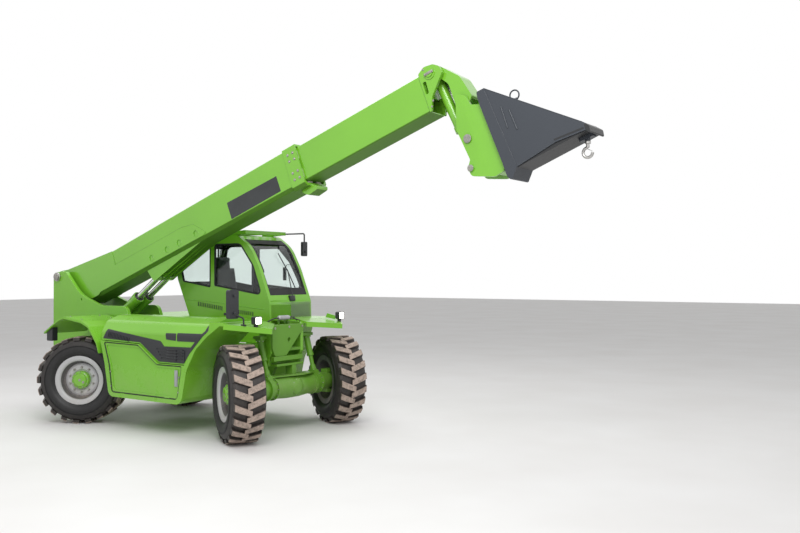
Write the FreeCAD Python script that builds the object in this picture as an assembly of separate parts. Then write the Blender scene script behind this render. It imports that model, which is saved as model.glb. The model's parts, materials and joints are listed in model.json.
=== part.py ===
import FreeCAD, Part
import math
import os
from FreeCAD import Placement, Rotation, Vector

# A telehandler of the twelve tonne class: four steered wheels, a cab on the left,
# the engine on the right, and a two-stage boom between them that carries a coupler
# with a short hook jib. Millimetres. +X is forward, +Y is to the left, +Z is up.
# Pieces are drawn about the ground point midway between the axles, and moved at
# the end so that the origin lies at the middle of the footprint, on the ground.

# Wheels and axles
WHEELBASE = 3080.0
TYRE_R = 627.5
TYRE_W = 474.0
TYRE_SEAT_R = 286.0
LUG_COUNT = 21
LUG_H = 38.0
LUG_WIDE = 74.0
LUG_SKEW = 105.0
RIM_R = 355.0
RIM_LIP_Y = 190.0
LUG_END_Y = 204.0
RIM_WALL = 12.0
RIM_DISC = 18.0
HUB_CAP_R = 150.0
HUB_CAP_OUT = 95.0
STUD_CIRCLE_R = 212.0
SEAT_GAP = 0.3
KINGPIN_Y = 982.0
KINGPIN_OFFSET = 40.0
KINGPIN_R = 32.0
KINGPIN_H = 170.0
PIN_GAP = 0.05
AXLE_Z = TYRE_R
AXLE_TUBE_R = 118.0
AXLE_CASE_R = 158.0
STEER_REST = {"front_right": -33.0, "front_left": -29.2, "rear_right": 31.1, "rear_left": 27.0}

# Chassis
BOOM_Y = -80.0
RAIL_OUT = 340.0
RAIL_T = 60.0
RAIL_TOP = 1150.0
RAIL_LOW = 640.0
NOSE_X = WHEELBASE / 2.0 + 5.0
NOSE_TOP = 1474.0
NOSE_T = 30.0
TOW_EYE_Z = 1265.0
TOW_EYE_R = 30.0
TOW_PIN_R = 16.0
TOW_PIN_BACK = 60.0
JAW_Z = (700.0, 800.0)
JAW_T = 32.0
TOWER_REAR_X = -3060.0
TOWER_TOP_Z = 2190.0
CROSS_X = (-800.0, 300.0)
CROSS_T = 80.0
STRUT_Y = 490.0
STRUT_LEAN = 125.0
STRUT_X = WHEELBASE / 2.0 - STRUT_LEAN
STRUT_R = 43.0
STRUT_ROD_R = 30.0
STRUT_TOP_Z = 1280.0
STRUT_SEAT = 176.0

# Body panels on the right side
SIDE_OUT = 1220.0
SIDE_IN = 460.0
PANEL_T = 30.0
DOOR_DEEP = 28.0
SPLIT_GAP = 8.0
HOOD_TOP = 1585.0
HOOD_T = 22.0
HOOD_HINGE_Y = -500.0
HOOD_HINGE_Z = 1560.0
HOOD_HINGE_X = (-640.0, 720.0)
HOOD_PIN_R = 5.0
DOOR_HINGE_Y = -1208.0
DOOR_HINGE_Z = 515.0
DOOR_HINGE_X = (-500.0, 380.0)
DOOR_PIN_R = 9.0
FENDER_T = 28.0
FENDER_TOP = 1524.0
FENDER_LIP = 70.0
FENDER_BEND_X = WHEELBASE / 2.0 - 98.0
FENDER_TIP_X = WHEELBASE / 2.0 + 320.0
FENDER_TIP_Y = 755.0
FENDER_FALL = 0.17
GRILLE_DEEP = 11.0
GRILLE_OUT = 5.0
LOUVRES = 4

# Cab
CAB_RIGHT = 250.0
CAB_LEFT = 1200.0
CAB_WALL = 46.0
CAB_FLOOR_Z = 1160.0
CAB_ROOF_Z = 2735.0
GLASS_T = 8.0
GLASS_GAP = 0.3
DOOR_GAP = 6.0
CAB_HINGE_X = -184.0
CAB_HINGE_Y = 1214.0
CAB_HINGE_Z = (1420.0, 2300.0)

# Boom
PIVOT_X = -2942.0
PIVOT_Z = 2113.0
BOOM_ANGLE = 20.5
PIVOT_R = 55.0
OUTER_W = 440.0
OUTER_TOP = -30.0
OUTER_LOW = -575.0
OUTER_END = 4900.0
OUTER_WALL = 12.0
OUTER_CHAMFER = 46.0
COLLAR_LEN = 200.0
COLLAR_T = 30.0
COLLAR_SIDE = 14.0
COLLAR_TOP = 18.0
INNER_W = 366.0
INNER_TOP = -52.0
INNER_LOW = -530.0
INNER_START = 2400.0
INNER_WALL = 12.0
INNER_CHAMFER = 16.0
HEAD_START = 7140.0
PAD_LEN = 160.0
PAD_W = 120.0

# Lift cylinders, in boom coordinates at the rod end and machine coordinates at the base
LIFT_U = 1914.0
LIFT_V = -720.0
LIFT_HALF = 100.0
LIFT_BASE_X = -2650.0
LIFT_BASE_Z = 854.0
LIFT_BARREL_R = 78.0
LIFT_ROD_R = 45.0
LIFT_EYE_R = 50.0
LIFT_EYE_W = 90.0
LIFT_PIN_R = 32.0
LIFT_BARREL_LEN = 1640.0
LIFT_ROD_START = 660.0

# Head, coupler and jib, in boom coordinates
TILT_TOP = (7292.0, -85.0)
TILT_LOW = (7419.0, -1400.0)
COUPLER_PIVOT = (7500.0, -1057.0)
TILT_BARREL_R = 64.0
TILT_BARREL_LEN = 790.0
TILT_ROD_R = 34.0
TILT_PIN_R = 34.0
TILT_EYE_W = 80.0
NECK_IN = 100.0
NECK_OUT = 130.0
HEAD_IN = 147.0
CHEEK_IN = 160.0
CHEEK_OUT = 192.0
CHEEK_DRAW = 50.0
COUPLER_PIN_R = 42.0
JIB_HALF = 220.0
JIB_PLATE = 16.0
RING_R = 58.0
RING_WIRE_R = 9.0
HOOK_WIRE_R = 17.0
HOOK_THROAT_R = 38.0


def vec(x, y, z):
    return Vector(float(x), float(y), float(z))


def outline(points, lift):
    """A closed wire of straight runs. A point (a, b, r) is rounded with an arc of radius r."""
    corners = []
    count = len(points)
    for i, point in enumerate(points):
        a, b = point[0], point[1]
        radius = point[2] if len(point) > 2 else 0.0
        before = points[i - 1]
        after = points[(i + 1) % count]
        if radius <= 0.0:
            corners.append(((a, b), None, (a, b)))
            continue
        in_a, in_b = before[0] - a, before[1] - b
        out_a, out_b = after[0] - a, after[1] - b
        in_len = math.hypot(in_a, in_b)
        out_len = math.hypot(out_a, out_b)
        in_a, in_b = in_a / in_len, in_b / in_len
        out_a, out_b = out_a / out_len, out_b / out_len
        half = math.acos(max(-1.0, min(1.0, in_a * out_a + in_b * out_b))) / 2.0
        reach = min(radius / math.tan(half), 0.48 * in_len, 0.48 * out_len)
        radius = reach * math.tan(half)
        mid_a, mid_b = in_a + out_a, in_b + out_b
        mid_len = math.hypot(mid_a, mid_b)
        depth = radius / math.sin(half) - radius
        start = (a + in_a * reach, b + in_b * reach)
        end = (a + out_a * reach, b + out_b * reach)
        middle = (a + mid_a / mid_len * depth, b + mid_b / mid_len * depth)
        corners.append((start, middle, end))
    edges = []
    for i, (start, middle, end) in enumerate(corners):
        if middle is not None:
            edges.append(Part.Arc(lift(*start), lift(*middle), lift(*end)).toShape())
        following = corners[(i + 1) % count][0]
        if math.hypot(following[0] - end[0], following[1] - end[1]) > 1e-6:
            edges.append(Part.LineSegment(lift(*end), lift(*following)).toShape())
    return Part.Wire(edges)


def prism(points, axis, low, high):
    """The outline swept along an axis. Its points are (x, z) along y, (y, z) along x, (x, y) along z."""
    lifts = {
        "x": lambda a, b: vec(low, a, b),
        "y": lambda a, b: vec(a, low, b),
        "z": lambda a, b: vec(a, b, low),
    }
    ways = {"x": vec(high - low, 0, 0), "y": vec(0, high - low, 0), "z": vec(0, 0, high - low)}
    return Part.Face(outline(points, lifts[axis])).extrude(ways[axis])


def box(x0, x1, y0, y1, z0, z1):
    return Part.makeBox(x1 - x0, y1 - y0, z1 - z0, vec(x0, y0, z0))


def bar(start, end, radius):
    way = end - start
    return Part.makeCylinder(radius, way.Length, start, way)


def cross_bar(a, b, y0, y1, radius):
    """A round bar along y through the point (a, b) of the xz plane."""
    return bar(vec(a, y0, b), vec(a, y1, b), radius)


def spun(points, centre, axis):
    """A solid turned about an axis. Its points are (radius, place along the axis)."""
    wire = Part.makePolygon([vec(r, 0, h) for r, h in points + points[:1]])
    solid = Part.Face(wire).revolve(vec(0, 0, 0), vec(0, 0, 1), 360)
    solid.Placement = Placement(centre, Rotation(vec(0, 0, 1), axis))
    return solid


def bent_bar(points, radius, bend):
    """A round bar along straight runs joined by arcs."""
    edges = []
    last = points[0]
    for i in range(1, len(points) - 1):
        corner = points[i]
        back = (points[i - 1] - corner).normalize()
        ahead = (points[i + 1] - corner).normalize()
        half = math.acos(max(-1.0, min(1.0, back.dot(ahead)))) / 2.0
        reach = bend / math.tan(half)
        start = corner + back * reach
        end = corner + ahead * reach
        middle = corner + (back + ahead).normalize() * (bend / math.sin(half) - bend)
        edges.append(Part.LineSegment(last, start).toShape())
        edges.append(Part.Arc(start, middle, end).toShape())
        last = end
    edges.append(Part.LineSegment(last, points[-1]).toShape())
    path = Part.Wire(edges)
    section = Part.Wire(Part.makeCircle(radius, points[0], points[1] - points[0]))
    return path.makePipeShell([section], True, True)


def joined(shapes):
    whole = shapes[0]
    if len(shapes) > 1:
        whole = whole.multiFuse(shapes[1:])
    return whole.removeSplitter()


def loose(shapes):
    return Part.makeCompound(shapes)


def both_sides(shape, middle_y=0.0):
    """The shape and its mirror image across the plane y = middle_y."""
    return [shape, shape.mirror(vec(0, middle_y, 0), vec(0, 1, 0))]


def on_boom(shape):
    """Boom coordinates: x runs out along the boom, z is square to it, from the pivot pin."""
    shape = shape.copy()
    place = Placement(vec(PIVOT_X, BOOM_Y, PIVOT_Z), Rotation(vec(0, 1, 0), -BOOM_ANGLE))
    shape.Placement = place.multiply(shape.Placement)
    return shape


def boom_point(u, v):
    angle = math.radians(BOOM_ANGLE)
    x = PIVOT_X + u * math.cos(angle) - v * math.sin(angle)
    z = PIVOT_Z + u * math.sin(angle) + v * math.cos(angle)
    return vec(x, BOOM_Y, z)


# Wheels. Each is drawn about its own centre with its axle along y, outside towards -y.

def tyre():
    half = TYRE_W / 2.0
    base_r = TYRE_R - LUG_H
    step = 2.0 * math.pi / LUG_COUNT
    # place along the axle, radius
    outer = ((RIM_LIP_Y - 25.0, TYRE_SEAT_R + 16.0), (RIM_LIP_Y, RIM_R + 4.0),
             (half, TYRE_SEAT_R + 0.48 * (base_r - TYRE_SEAT_R)), (LUG_END_Y - 4.0, base_r - 30.0),
             (0.70 * half, base_r))
    stations = [(-place, radius) for place, radius in outer] + list(reversed(outer))
    carcass = Part.makeLoft([flat_sided_ring(radius, place, step) for place, radius in stations], True, True)
    reach = LUG_SKEW / 2.0 + LUG_WIDE / 2.0
    top = math.sqrt(TYRE_R ** 2 - reach ** 2)
    foot = [
        (-LUG_SKEW / 2.0 - LUG_WIDE / 2.0, LUG_END_Y),
        (-LUG_SKEW / 2.0 + LUG_WIDE / 2.0, LUG_END_Y),
        (LUG_SKEW / 2.0 + LUG_WIDE / 2.0, 10.0),
        (LUG_SKEW / 2.0 - LUG_WIDE / 2.0, 10.0),
    ]
    lug = prism(foot, "z", base_r - 52.0, top)
    mirror = lug.mirror(vec(0, 0, 0), vec(0, 1, 0))
    lugs = []
    for k in range(LUG_COUNT):
        turn = 360.0 * k / LUG_COUNT
        for piece, lag in ((lug, 0.0), (mirror, 180.0 / LUG_COUNT)):
            one = piece.copy()
            one.rotate(vec(0, 0, 0), vec(0, 1, 0), turn + lag)
            lugs.append(one)
    whole = carcass.multiFuse(lugs)
    bore_r = (TYRE_SEAT_R + SEAT_GAP) / math.cos(step / 2.0)
    bore = Part.makeLoft([flat_sided_ring(bore_r, place, step) for place in (-half, half)], True, True)
    return whole.cut(bore)


def flat_sided_ring(radius, place, step):
    """A closed run of straight sides about the axle, one for each lug."""
    ring = []
    for k in range(LUG_COUNT + 1):
        turn = (k + 0.5) * step
        ring.append(vec(radius * math.sin(turn), place, radius * math.cos(turn)))
    return Part.makePolygon(ring)


def rim():
    half = TYRE_W / 2.0
    disc_y = -0.30 * half
    seat = TYRE_SEAT_R
    lip = RIM_LIP_Y
    # radius, place along the axle, outside first
    shell = [
        (seat, -lip + 24.0),
        (RIM_R, -lip - SEAT_GAP),
        (RIM_R, -lip - 12.0),
        (seat - 4.0, -lip - 4.0),
        (seat - RIM_WALL, -lip + 20.0),
        (seat - RIM_WALL - 14.0, disc_y - RIM_DISC),
        (HUB_CAP_R - 20.0, disc_y - RIM_DISC),
        (HUB_CAP_R - 20.0, disc_y),
        (seat - RIM_WALL - 8.0, disc_y),
        (seat - RIM_WALL, lip - 30.0),
        (seat - 4.0, lip + 4.0),
        (RIM_R, lip + 12.0),
        (RIM_R, lip + SEAT_GAP),
        (seat, lip - 24.0),
    ]
    body = spun(shell, vec(0, 0, 0), vec(0, 1, 0))
    return joined([body, hub()])


def hub():
    """The planetary hub that turns with the wheel and stands out of the rim's disc."""
    half = TYRE_W / 2.0
    disc_y = -0.30 * half
    # radius, place along the axle
    shape = [
        (0.0, disc_y - RIM_DISC - HUB_CAP_OUT),
        (0.62 * HUB_CAP_R, disc_y - RIM_DISC - HUB_CAP_OUT),
        (0.70 * HUB_CAP_R, disc_y - RIM_DISC - 0.80 * HUB_CAP_OUT),
        (0.92 * HUB_CAP_R - 12.0, disc_y - RIM_DISC - 0.74 * HUB_CAP_OUT),
        (HUB_CAP_R - 20.0, disc_y - RIM_DISC - 0.50 * HUB_CAP_OUT),
        (HUB_CAP_R - 20.0, disc_y),
        (STUD_CIRCLE_R + 26.0, disc_y),
        (STUD_CIRCLE_R + 26.0, disc_y + 26.0),
        (0.0, disc_y + 26.0),
    ]
    return spun(shape, vec(0, 0, 0), vec(0, 1, 0))


def knuckle():
    """The swivel housing between the axle's fork and the hub, about the kingpin at the origin."""
    half = TYRE_W / 2.0
    hub_back = -KINGPIN_OFFSET - 0.30 * half + 26.0
    housing = spun([(0.0, hub_back + SEAT_GAP), (118.0, hub_back + SEAT_GAP), (118.0, hub_back + 30.0),
                    (98.0, hub_back + 46.0), (88.0, 24.0), (0.0, 24.0)], vec(0, 0, 0), vec(0, 1, 0))
    post = bar(vec(0, 0, -KINGPIN_H + 50.0), vec(0, 0, KINGPIN_H - 50.0), 58.0)
    pins = bar(vec(0, 0, -KINGPIN_H), vec(0, 0, KINGPIN_H), KINGPIN_R)
    return joined([housing, post, pins])


def mirrored_for_left(shape, side):
    return shape if side == "right" else shape.mirror(vec(0, 0, 0), vec(0, 1, 0))


def wheel_place(corner):
    end, side = corner.split("_")
    x = WHEELBASE / 2.0 if end == "front" else -WHEELBASE / 2.0
    y = -KINGPIN_Y if side == "right" else KINGPIN_Y
    return Placement(vec(x, y, AXLE_Z), Rotation(vec(0, 0, 1), STEER_REST[corner]))


def at_corner(shape, corner, offset=0.0):
    end, side = corner.split("_")
    piece = mirrored_for_left(shape.copy(), side)
    out = -offset if side == "right" else offset
    piece.translate(vec(0, out, 0))
    piece.Placement = wheel_place(corner).multiply(piece.Placement)
    return piece


def axle(x):
    """A cast beam with its central case, flange pairs and strut seats, and at each end a fork round the knuckle."""
    fork_in = KINGPIN_Y - 185.0
    beam = spun([(0.0, -fork_in), (AXLE_TUBE_R, -fork_in), (AXLE_TUBE_R + 8.0, -600.0),
                 (AXLE_CASE_R - 22.0, -440.0), (AXLE_CASE_R - 10.0, -260.0), (AXLE_CASE_R, -120.0),
                 (AXLE_CASE_R, 120.0), (AXLE_CASE_R - 10.0, 260.0), (AXLE_CASE_R - 22.0, 440.0),
                 (AXLE_TUBE_R + 8.0, 600.0), (AXLE_TUBE_R, fork_in), (0.0, fork_in)],
                vec(x, 0, AXLE_Z), vec(0, 1, 0))
    flanges = []
    for y in (-545.0, -415.0, 415.0, 545.0):
        flanges.append(bar(vec(x, y - 10.0, AXLE_Z), vec(x, y + 10.0, AXLE_Z), AXLE_CASE_R))
    forks = []
    for side in (-1.0, 1.0):
        outer = side * KINGPIN_Y
        inner = side * fork_in
        low, high = min(outer, inner), max(outer, inner)
        for up in (-1.0, 1.0):
            z0 = AXLE_Z + up * (KINGPIN_H - 44.0)
            z1 = AXLE_Z + up * (KINGPIN_H - 4.0)
            zl, zh = min(z0, z1), max(z0, z1)
            arm = box(x - 58.0, x + 58.0, low, high, zl, zh)
            eye = bar(vec(x, outer, zl), vec(x, outer, zh), 58.0)
            forks += [arm, eye]
        web = box(x - 58.0, x + 58.0, min(inner, inner - side * 60.0), max(inner, inner - side * 60.0),
                  AXLE_Z - KINGPIN_H + 4.0, AXLE_Z + KINGPIN_H - 4.0)
        forks.append(web)
        # a ribbed seat for the strut, standing on the beam
        y0, y1 = sorted((side * (STRUT_Y - 52.0), side * (STRUT_Y + 52.0)))
        forks.append(prism([(x - 96.0, AXLE_Z + 40.0), (x - 52.0, AXLE_Z + STRUT_SEAT), (x + 52.0, AXLE_Z + STRUT_SEAT),
                            (x + 96.0, AXLE_Z + 40.0)], "y", y0, y1))
    # the link plate between the strut seats, bowed outwards
    way = 1.0 if x > 0 else -1.0
    plan = [(-50.0, -445.0), (60.0, -445.0), (150.0, 100.0, 60.0), (130.0, 260.0, 60.0), (60.0, 445.0), (-50.0, 445.0)]
    link = prism([(x + way * a, *rest) for a, *rest in plan], "z", AXLE_Z + STRUT_SEAT - 26.0, AXLE_Z + STRUT_SEAT - 10.0)
    link = link.cut(box(x - 66.0, x + 66.0, -51.0, 51.0, AXLE_Z, AXLE_Z + 300.0))
    whole = joined([beam] + flanges + forks + [link])
    holes = []
    for side in (-1.0, 1.0):
        y = side * KINGPIN_Y
        holes.append(bar(vec(x, y, AXLE_Z - 2 * KINGPIN_H), vec(x, y, AXLE_Z + 2 * KINGPIN_H), KINGPIN_R + PIN_GAP))
    return whole.cut(Part.makeCompound(holes))


# Chassis

def rail_profile():
    # x, z, corner radius: the tower's concave front edge comes down to the top of the rail
    return [
        (TOWER_REAR_X, RAIL_LOW - 90.0, 60.0),
        (TOWER_REAR_X, TOWER_TOP_Z, 110.0),
        (PIVOT_X + 190.0, TOWER_TOP_Z + 4.0, 60.0),
        (-2390.0, 1830.0, 700.0),
        (-1900.0, 1674.0, 500.0),
        (-1330.0, 1674.0, 120.0),
        (-1120.0, RAIL_TOP, 160.0),
        (STRUT_X - 76.0, RAIL_TOP, 40.0),
        (STRUT_X - 76.0, NOSE_TOP + 28.0, 20.0),
        (STRUT_X + 85.0, NOSE_TOP + 28.0, 20.0),
        (NOSE_X, NOSE_TOP),
        (NOSE_X, 1100.0, 30.0),
        (NOSE_X - 60.0, AXLE_Z + 290.0, 30.0),
        (WHEELBASE / 2.0 - 420.0, AXLE_Z + 290.0, 60.0),
        (WHEELBASE / 2.0 - 560.0, RAIL_LOW, 60.0),
        (-WHEELBASE / 2.0 + 560.0, RAIL_LOW, 60.0),
        (-WHEELBASE / 2.0 + 420.0, AXLE_Z + 290.0, 60.0),
        (-WHEELBASE / 2.0 - 420.0, AXLE_Z + 290.0, 60.0),
        (-WHEELBASE / 2.0 - 560.0, RAIL_LOW - 90.0, 60.0),
    ]


def chassis_frame():
    """The two side plates, with the bores of the boom's pivot and the cylinders' lower pin."""
    inner = RAIL_OUT - RAIL_T
    right = prism(rail_profile(), "y", BOOM_Y - RAIL_OUT, BOOM_Y - inner)
    left = prism(rail_profile(), "y", BOOM_Y + inner, BOOM_Y + RAIL_OUT)
    holes = [cross_bar(PIVOT_X, PIVOT_Z, BOOM_Y - RAIL_OUT - 5, BOOM_Y + RAIL_OUT + 5, PIVOT_R + PIN_GAP),
             cross_bar(LIFT_BASE_X, LIFT_BASE_Z, BOOM_Y - RAIL_OUT - 5, BOOM_Y + RAIL_OUT + 5,
                       LIFT_PIN_R + PIN_GAP),
             cross_bar(-2370.0, 1760.0, BOOM_Y - RAIL_OUT - 5, BOOM_Y - inner + 5, 18.0)]
    return loose(loose([right, left]).cut(Part.makeCompound(holes)).Solids)


def chassis_crossmembers():
    """What ties the side plates: cross boxes, belly plates, nose plate, saddles, outriggers and cab arms."""
    inner = RAIL_OUT - RAIL_T
    y0, y1 = BOOM_Y - inner, BOOM_Y + inner
    face_right, face_left = BOOM_Y - RAIL_OUT, BOOM_Y + RAIL_OUT
    pieces = []
    for x in CROSS_X:
        pieces.append(box(x - CROSS_T / 2, x + CROSS_T / 2, y0, y1, RAIL_LOW + 20.0 + SEAT_GAP, RAIL_LOW + 260.0))
    pieces.append(box(-850.0, 850.0, y0, y1, RAIL_LOW, RAIL_LOW + 20.0))
    # the nose plate tapers down to the axle
    nose = prism([(face_right, NOSE_TOP, 16.0), (face_left, NOSE_TOP, 16.0), (face_left, 1440.0, 30.0),
                  (BOOM_Y - 60.0, 1050.0, 40.0), (face_right + 50.0, 1050.0, 40.0), (face_right, 1160.0, 60.0)],
                 "x", NOSE_X, NOSE_X + NOSE_T)
    tow_hole = bar(vec(NOSE_X - 5.0, BOOM_Y, TOW_EYE_Z), vec(NOSE_X + NOSE_T + 5.0, BOOM_Y, TOW_EYE_Z), TOW_EYE_R)
    pieces.append(nose.cut(tow_hole))
    pieces.append(box(NOSE_X - 180.0, NOSE_X - SEAT_GAP, y0, y1, RAIL_TOP - 40.0, RAIL_TOP))
    pieces.append(box(NOSE_X + 1.0, NOSE_X + 55.0, face_right, face_left - 80.0, 990.0, 1050.0 - SEAT_GAP))
    for x in (WHEELBASE / 2.0, -WHEELBASE / 2.0):
        belly = AXLE_Z + 290.0
        pieces.append(box(x - 150.0, x + 60.0, y0, y1, belly, belly + 30.0))
        pieces.append(box(x - 60.0, x + 60.0, -45.0, 45.0, AXLE_Z + AXLE_CASE_R + SEAT_GAP, belly - SEAT_GAP))
    # outriggers that carry the struts, the side body and the cab
    low, high = STRUT_TOP_Z + 10.0, STRUT_TOP_Z + 50.0
    for x in (STRUT_X, -STRUT_X):
        pieces.append(box(x - 66.0, x + 66.0, -STRUT_Y - 66.0, face_right, low, high))
        pieces.append(box(x - 66.0, x + 66.0, face_left, STRUT_Y + 66.0, low, high))
    for x in (-450.0, 520.0):
        pieces.append(box(x - 50.0, x + 50.0, face_left, CAB_LEFT - 160.0, CAB_FLOOR_Z - 100.0,
                          CAB_FLOOR_Z - SEAT_GAP))
    return loose(pieces)


def rear_ballast():
    """The cast weight that closes the chassis behind the tower, with its tow jaw."""
    inner = RAIL_OUT - RAIL_T
    y0, y1 = BOOM_Y - inner + SEAT_GAP, BOOM_Y + inner - SEAT_GAP
    block = prism([(TOWER_REAR_X, 620.0, 40.0), (TOWER_REAR_X, 1320.0, 60.0), (TOWER_REAR_X + 190.0, 1320.0, 40.0),
                   (TOWER_REAR_X + 190.0, 760.0, 30.0), (TOWER_REAR_X + 250.0, 620.0, 30.0)], "y", y0, y1)
    jaws = []
    for z in JAW_Z:
        jaws.append(prism([(TOWER_REAR_X + 40.0, BOOM_Y - 90.0), (TOWER_REAR_X - 110.0, BOOM_Y - 60.0, 50.0),
                           (TOWER_REAR_X - 110.0, BOOM_Y + 60.0, 50.0), (TOWER_REAR_X + 40.0, BOOM_Y + 90.0)],
                          "z", z - JAW_T / 2.0, z + JAW_T / 2.0))
    whole = joined([block] + jaws)
    x = TOWER_REAR_X - TOW_PIN_BACK
    return whole.cut(bar(vec(x, BOOM_Y, 600.0), vec(x, BOOM_Y, 900.0), TOW_PIN_R))


def struts():
    """Four suspension struts that lean from the axle's seats to the outriggers, with a flange at each end."""
    pieces = []
    for side in (-1.0, 1.0):
        for end in (-1.0, 1.0):
            top = vec(end * STRUT_X, side * STRUT_Y, STRUT_TOP_Z + 10.0 - SEAT_GAP)
            low = vec(end * WHEELBASE / 2.0, side * STRUT_Y, AXLE_Z + STRUT_SEAT + SEAT_GAP)
            upper, under = top - vec(0, 0, 12.0), low + vec(0, 0, 12.0)
            way = (under - upper).normalize()
            split = upper + (under - upper) * 0.60
            pieces.append(joined([bar(top - vec(0, 0, 22.0), top, 62.0), bar(low, low + vec(0, 0, 22.0), 50.0),
                                  bar(upper, split, STRUT_R), bar(split - way * 34.0, split, STRUT_R + 7.0),
                                  bar(split - way * 5.0, under, STRUT_ROD_R),
                                  bar(under - way * 60.0, under, STRUT_ROD_R + 11.0)]))
    return loose(pieces)


# Right side body, hood and service door

def arch_line():
    # x, z of the thick bead round the side body, from the rear fender to the front fender
    return [(-921.0, 1249.0), (-821.0, 899.0, 200.0), (-735.0, 455.0, 110.0), (690.0, 440.0, 120.0),
            (790.0, 900.0, 300.0), (960.0, 1180.0, 200.0), (1160.0, 1352.0, 200.0), (1380.0, 1496.0, 60.0), (1442.0, FENDER_TOP - FENDER_T)]


def lid_region(grow=0.0):
    """What lifts with the hood, seen from the side: above the service door and behind the front bead."""
    return [(-1060.0, 1236.0 - grow), (-128.0, 1214.0 - grow), (240.0, 972.0 - grow),
            (740.0 + grow, 968.0 - grow), (836.0 + grow, 1105.0 - grow), (1180.0 + grow, 1440.0 - grow),
            (1236.0 + grow, 1700.0), (-1060.0, 1700.0)]


def body_section(inset):
    # y, z across the hood, rounded over its outer shoulder
    return [(-SIDE_IN - inset, 300.0 + inset), (-SIDE_IN - inset, HOOD_TOP - 25.0 - inset),
            (-860.0, HOOD_TOP - inset, 400.0), (-1110.0 + inset / 2, 1500.0 - inset, 120.0),
            (-1196.0 + inset, 1360.0, 80.0), (-1200.0 + inset, 300.0 + inset)]


def side_body():
    """The tub that carries the hood and the service door, with its rounded bead and both arch walls."""
    top = [(1442.0, FENDER_TOP + 16.0, 10.0), (-921.0, HOOD_TOP - 30.0)]
    full = prism(arch_line() + top, "y", -SIDE_OUT, -SIDE_IN)
    small = [(-890.0, 1249.0), (-790.0, 899.0, 180.0), (-705.0, 485.0, 90.0), (660.0, 470.0, 100.0),
             (760.0, 910.0, 300.0), (930.0, 1195.0, 200.0), (1130.0, 1372.0, 200.0), (1380.0, 1530.0, 60.0),
             (1380.0, 1700.0), (-890.0, 1700.0)]
    hollow = prism(small, "y", -SIDE_OUT + PANEL_T, -SIDE_IN - PANEL_T)
    shell = full.cut(hollow)
    shell = shell.cut(prism(lid_region(SPLIT_GAP), "y", -SIDE_OUT - 10.0, -SIDE_IN - PANEL_T))
    shell = shell.cut(prism(door_outline(-SPLIT_GAP), "y", -SIDE_OUT - 10.0, -SIDE_OUT + PANEL_T + 5.0))
    for x in DOOR_HINGE_X:
        shell = shell.cut(bar(vec(x - 2.0, DOOR_HINGE_Y, DOOR_HINGE_Z), vec(x + 92.0, DOOR_HINGE_Y, DOOR_HINGE_Z),
                              DOOR_PIN_R + SEAT_GAP))
    arms = []
    for x in (-450.0, 520.0):
        arms.append(box(x - 45.0, x + 45.0, -SIDE_IN, BOOM_Y - RAIL_OUT, RAIL_LOW + 60.0, RAIL_LOW + 220.0))
    lugs = []
    bores = []
    y, z = HOOD_HINGE_Y, HOOD_HINGE_Z
    for x in HOOD_HINGE_X:
        lugs += [bar(vec(x + 90.0 + SEAT_GAP, y, z), vec(x + 120.0, y, z), HOOD_PIN_R + 4.0),
                 box(x + 90.0 + SEAT_GAP, x + 120.0, y - 3.0, -SIDE_IN - 2.0, z - 20.0, z + 6.0)]
        bores.append(bar(vec(x + 80.0, y, z), vec(x + 130.0, y, z), HOOD_PIN_R + PIN_GAP))
    return joined([shell] + arms + lugs).cut(Part.makeCompound(bores))


def door_outline(inset):
    # x, z, corner radius of the service door
    return [(-838.0 + inset, 1205.0 - inset, 30.0), (-735.0 + inset, 905.0, 200.0),
            (-672.0 + inset, 520.0 + inset, 60.0), (612.0 - inset, 508.0 + inset, 60.0),
            (690.0 - inset, 905.0, 200.0), (690.0 - inset, 944.0 - inset, 20.0), (229.0, 946.0 - inset, 60.0),
            (-143.0, 1189.0 - inset, 60.0)]


def service_door():
    y0 = -SIDE_OUT + 12.0
    panel = prism(door_outline(0.0), "y", y0, y0 + DOOR_DEEP)
    frame = prism(door_outline(34.0), "y", y0 - 1.0, y0 + 10.0)
    panel = panel.cut(frame)
    handle = prism([(560.0, 690.0, 10.0), (560.0, 890.0, 10.0), (602.0, 890.0, 10.0), (602.0, 690.0, 10.0)],
                   "y", y0 + 2.0, y0 + 12.0)
    hinges = [bar(vec(x, DOOR_HINGE_Y, DOOR_HINGE_Z), vec(x + 90.0, DOOR_HINGE_Y, DOOR_HINGE_Z), DOOR_PIN_R)
              for x in DOOR_HINGE_X]
    return joined([panel, handle] + hinges)


def hood():
    """The engine cover: a shell with a rounded shoulder, split from the tub along the bead."""
    outer = prism(body_section(0.0), "x", -905.0, 1190.0)
    inner = prism(body_section(HOOD_T), "x", -905.0 + HOOD_T, 1190.0 - HOOD_T)
    lid = outer.cut(inner).common(prism(lid_region(), "y", -SIDE_OUT, -SIDE_IN - PANEL_T - 4.0))
    lid = lid.cut(band_skin(-20.0, GRILLE_DEEP))
    slots = []
    for x in (-520.0, -60.0, 420.0):
        slots.append(prism([(x, -640.0, 12.0), (x + 230.0, -640.0, 12.0), (x + 230.0, -600.0, 12.0),
                            (x, -600.0, 12.0)], "z", 1500.0, 1620.0))
    knuckles = []
    y, z = HOOD_HINGE_Y, HOOD_HINGE_Z
    for x in HOOD_HINGE_X:
        slots.append(box(x + 90.0, x + 123.0, y - 30.0, y + 20.0, z - 30.0, z + 30.0))
        knuckles += [bar(vec(x, y, z), vec(x + 90.0, y, z), HOOD_PIN_R + 4.0),
                     bar(vec(x, y, z), vec(x + 118.0, y, z), HOOD_PIN_R)]
    return joined([lid.cut(Part.makeCompound(slots))] + knuckles)


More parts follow.
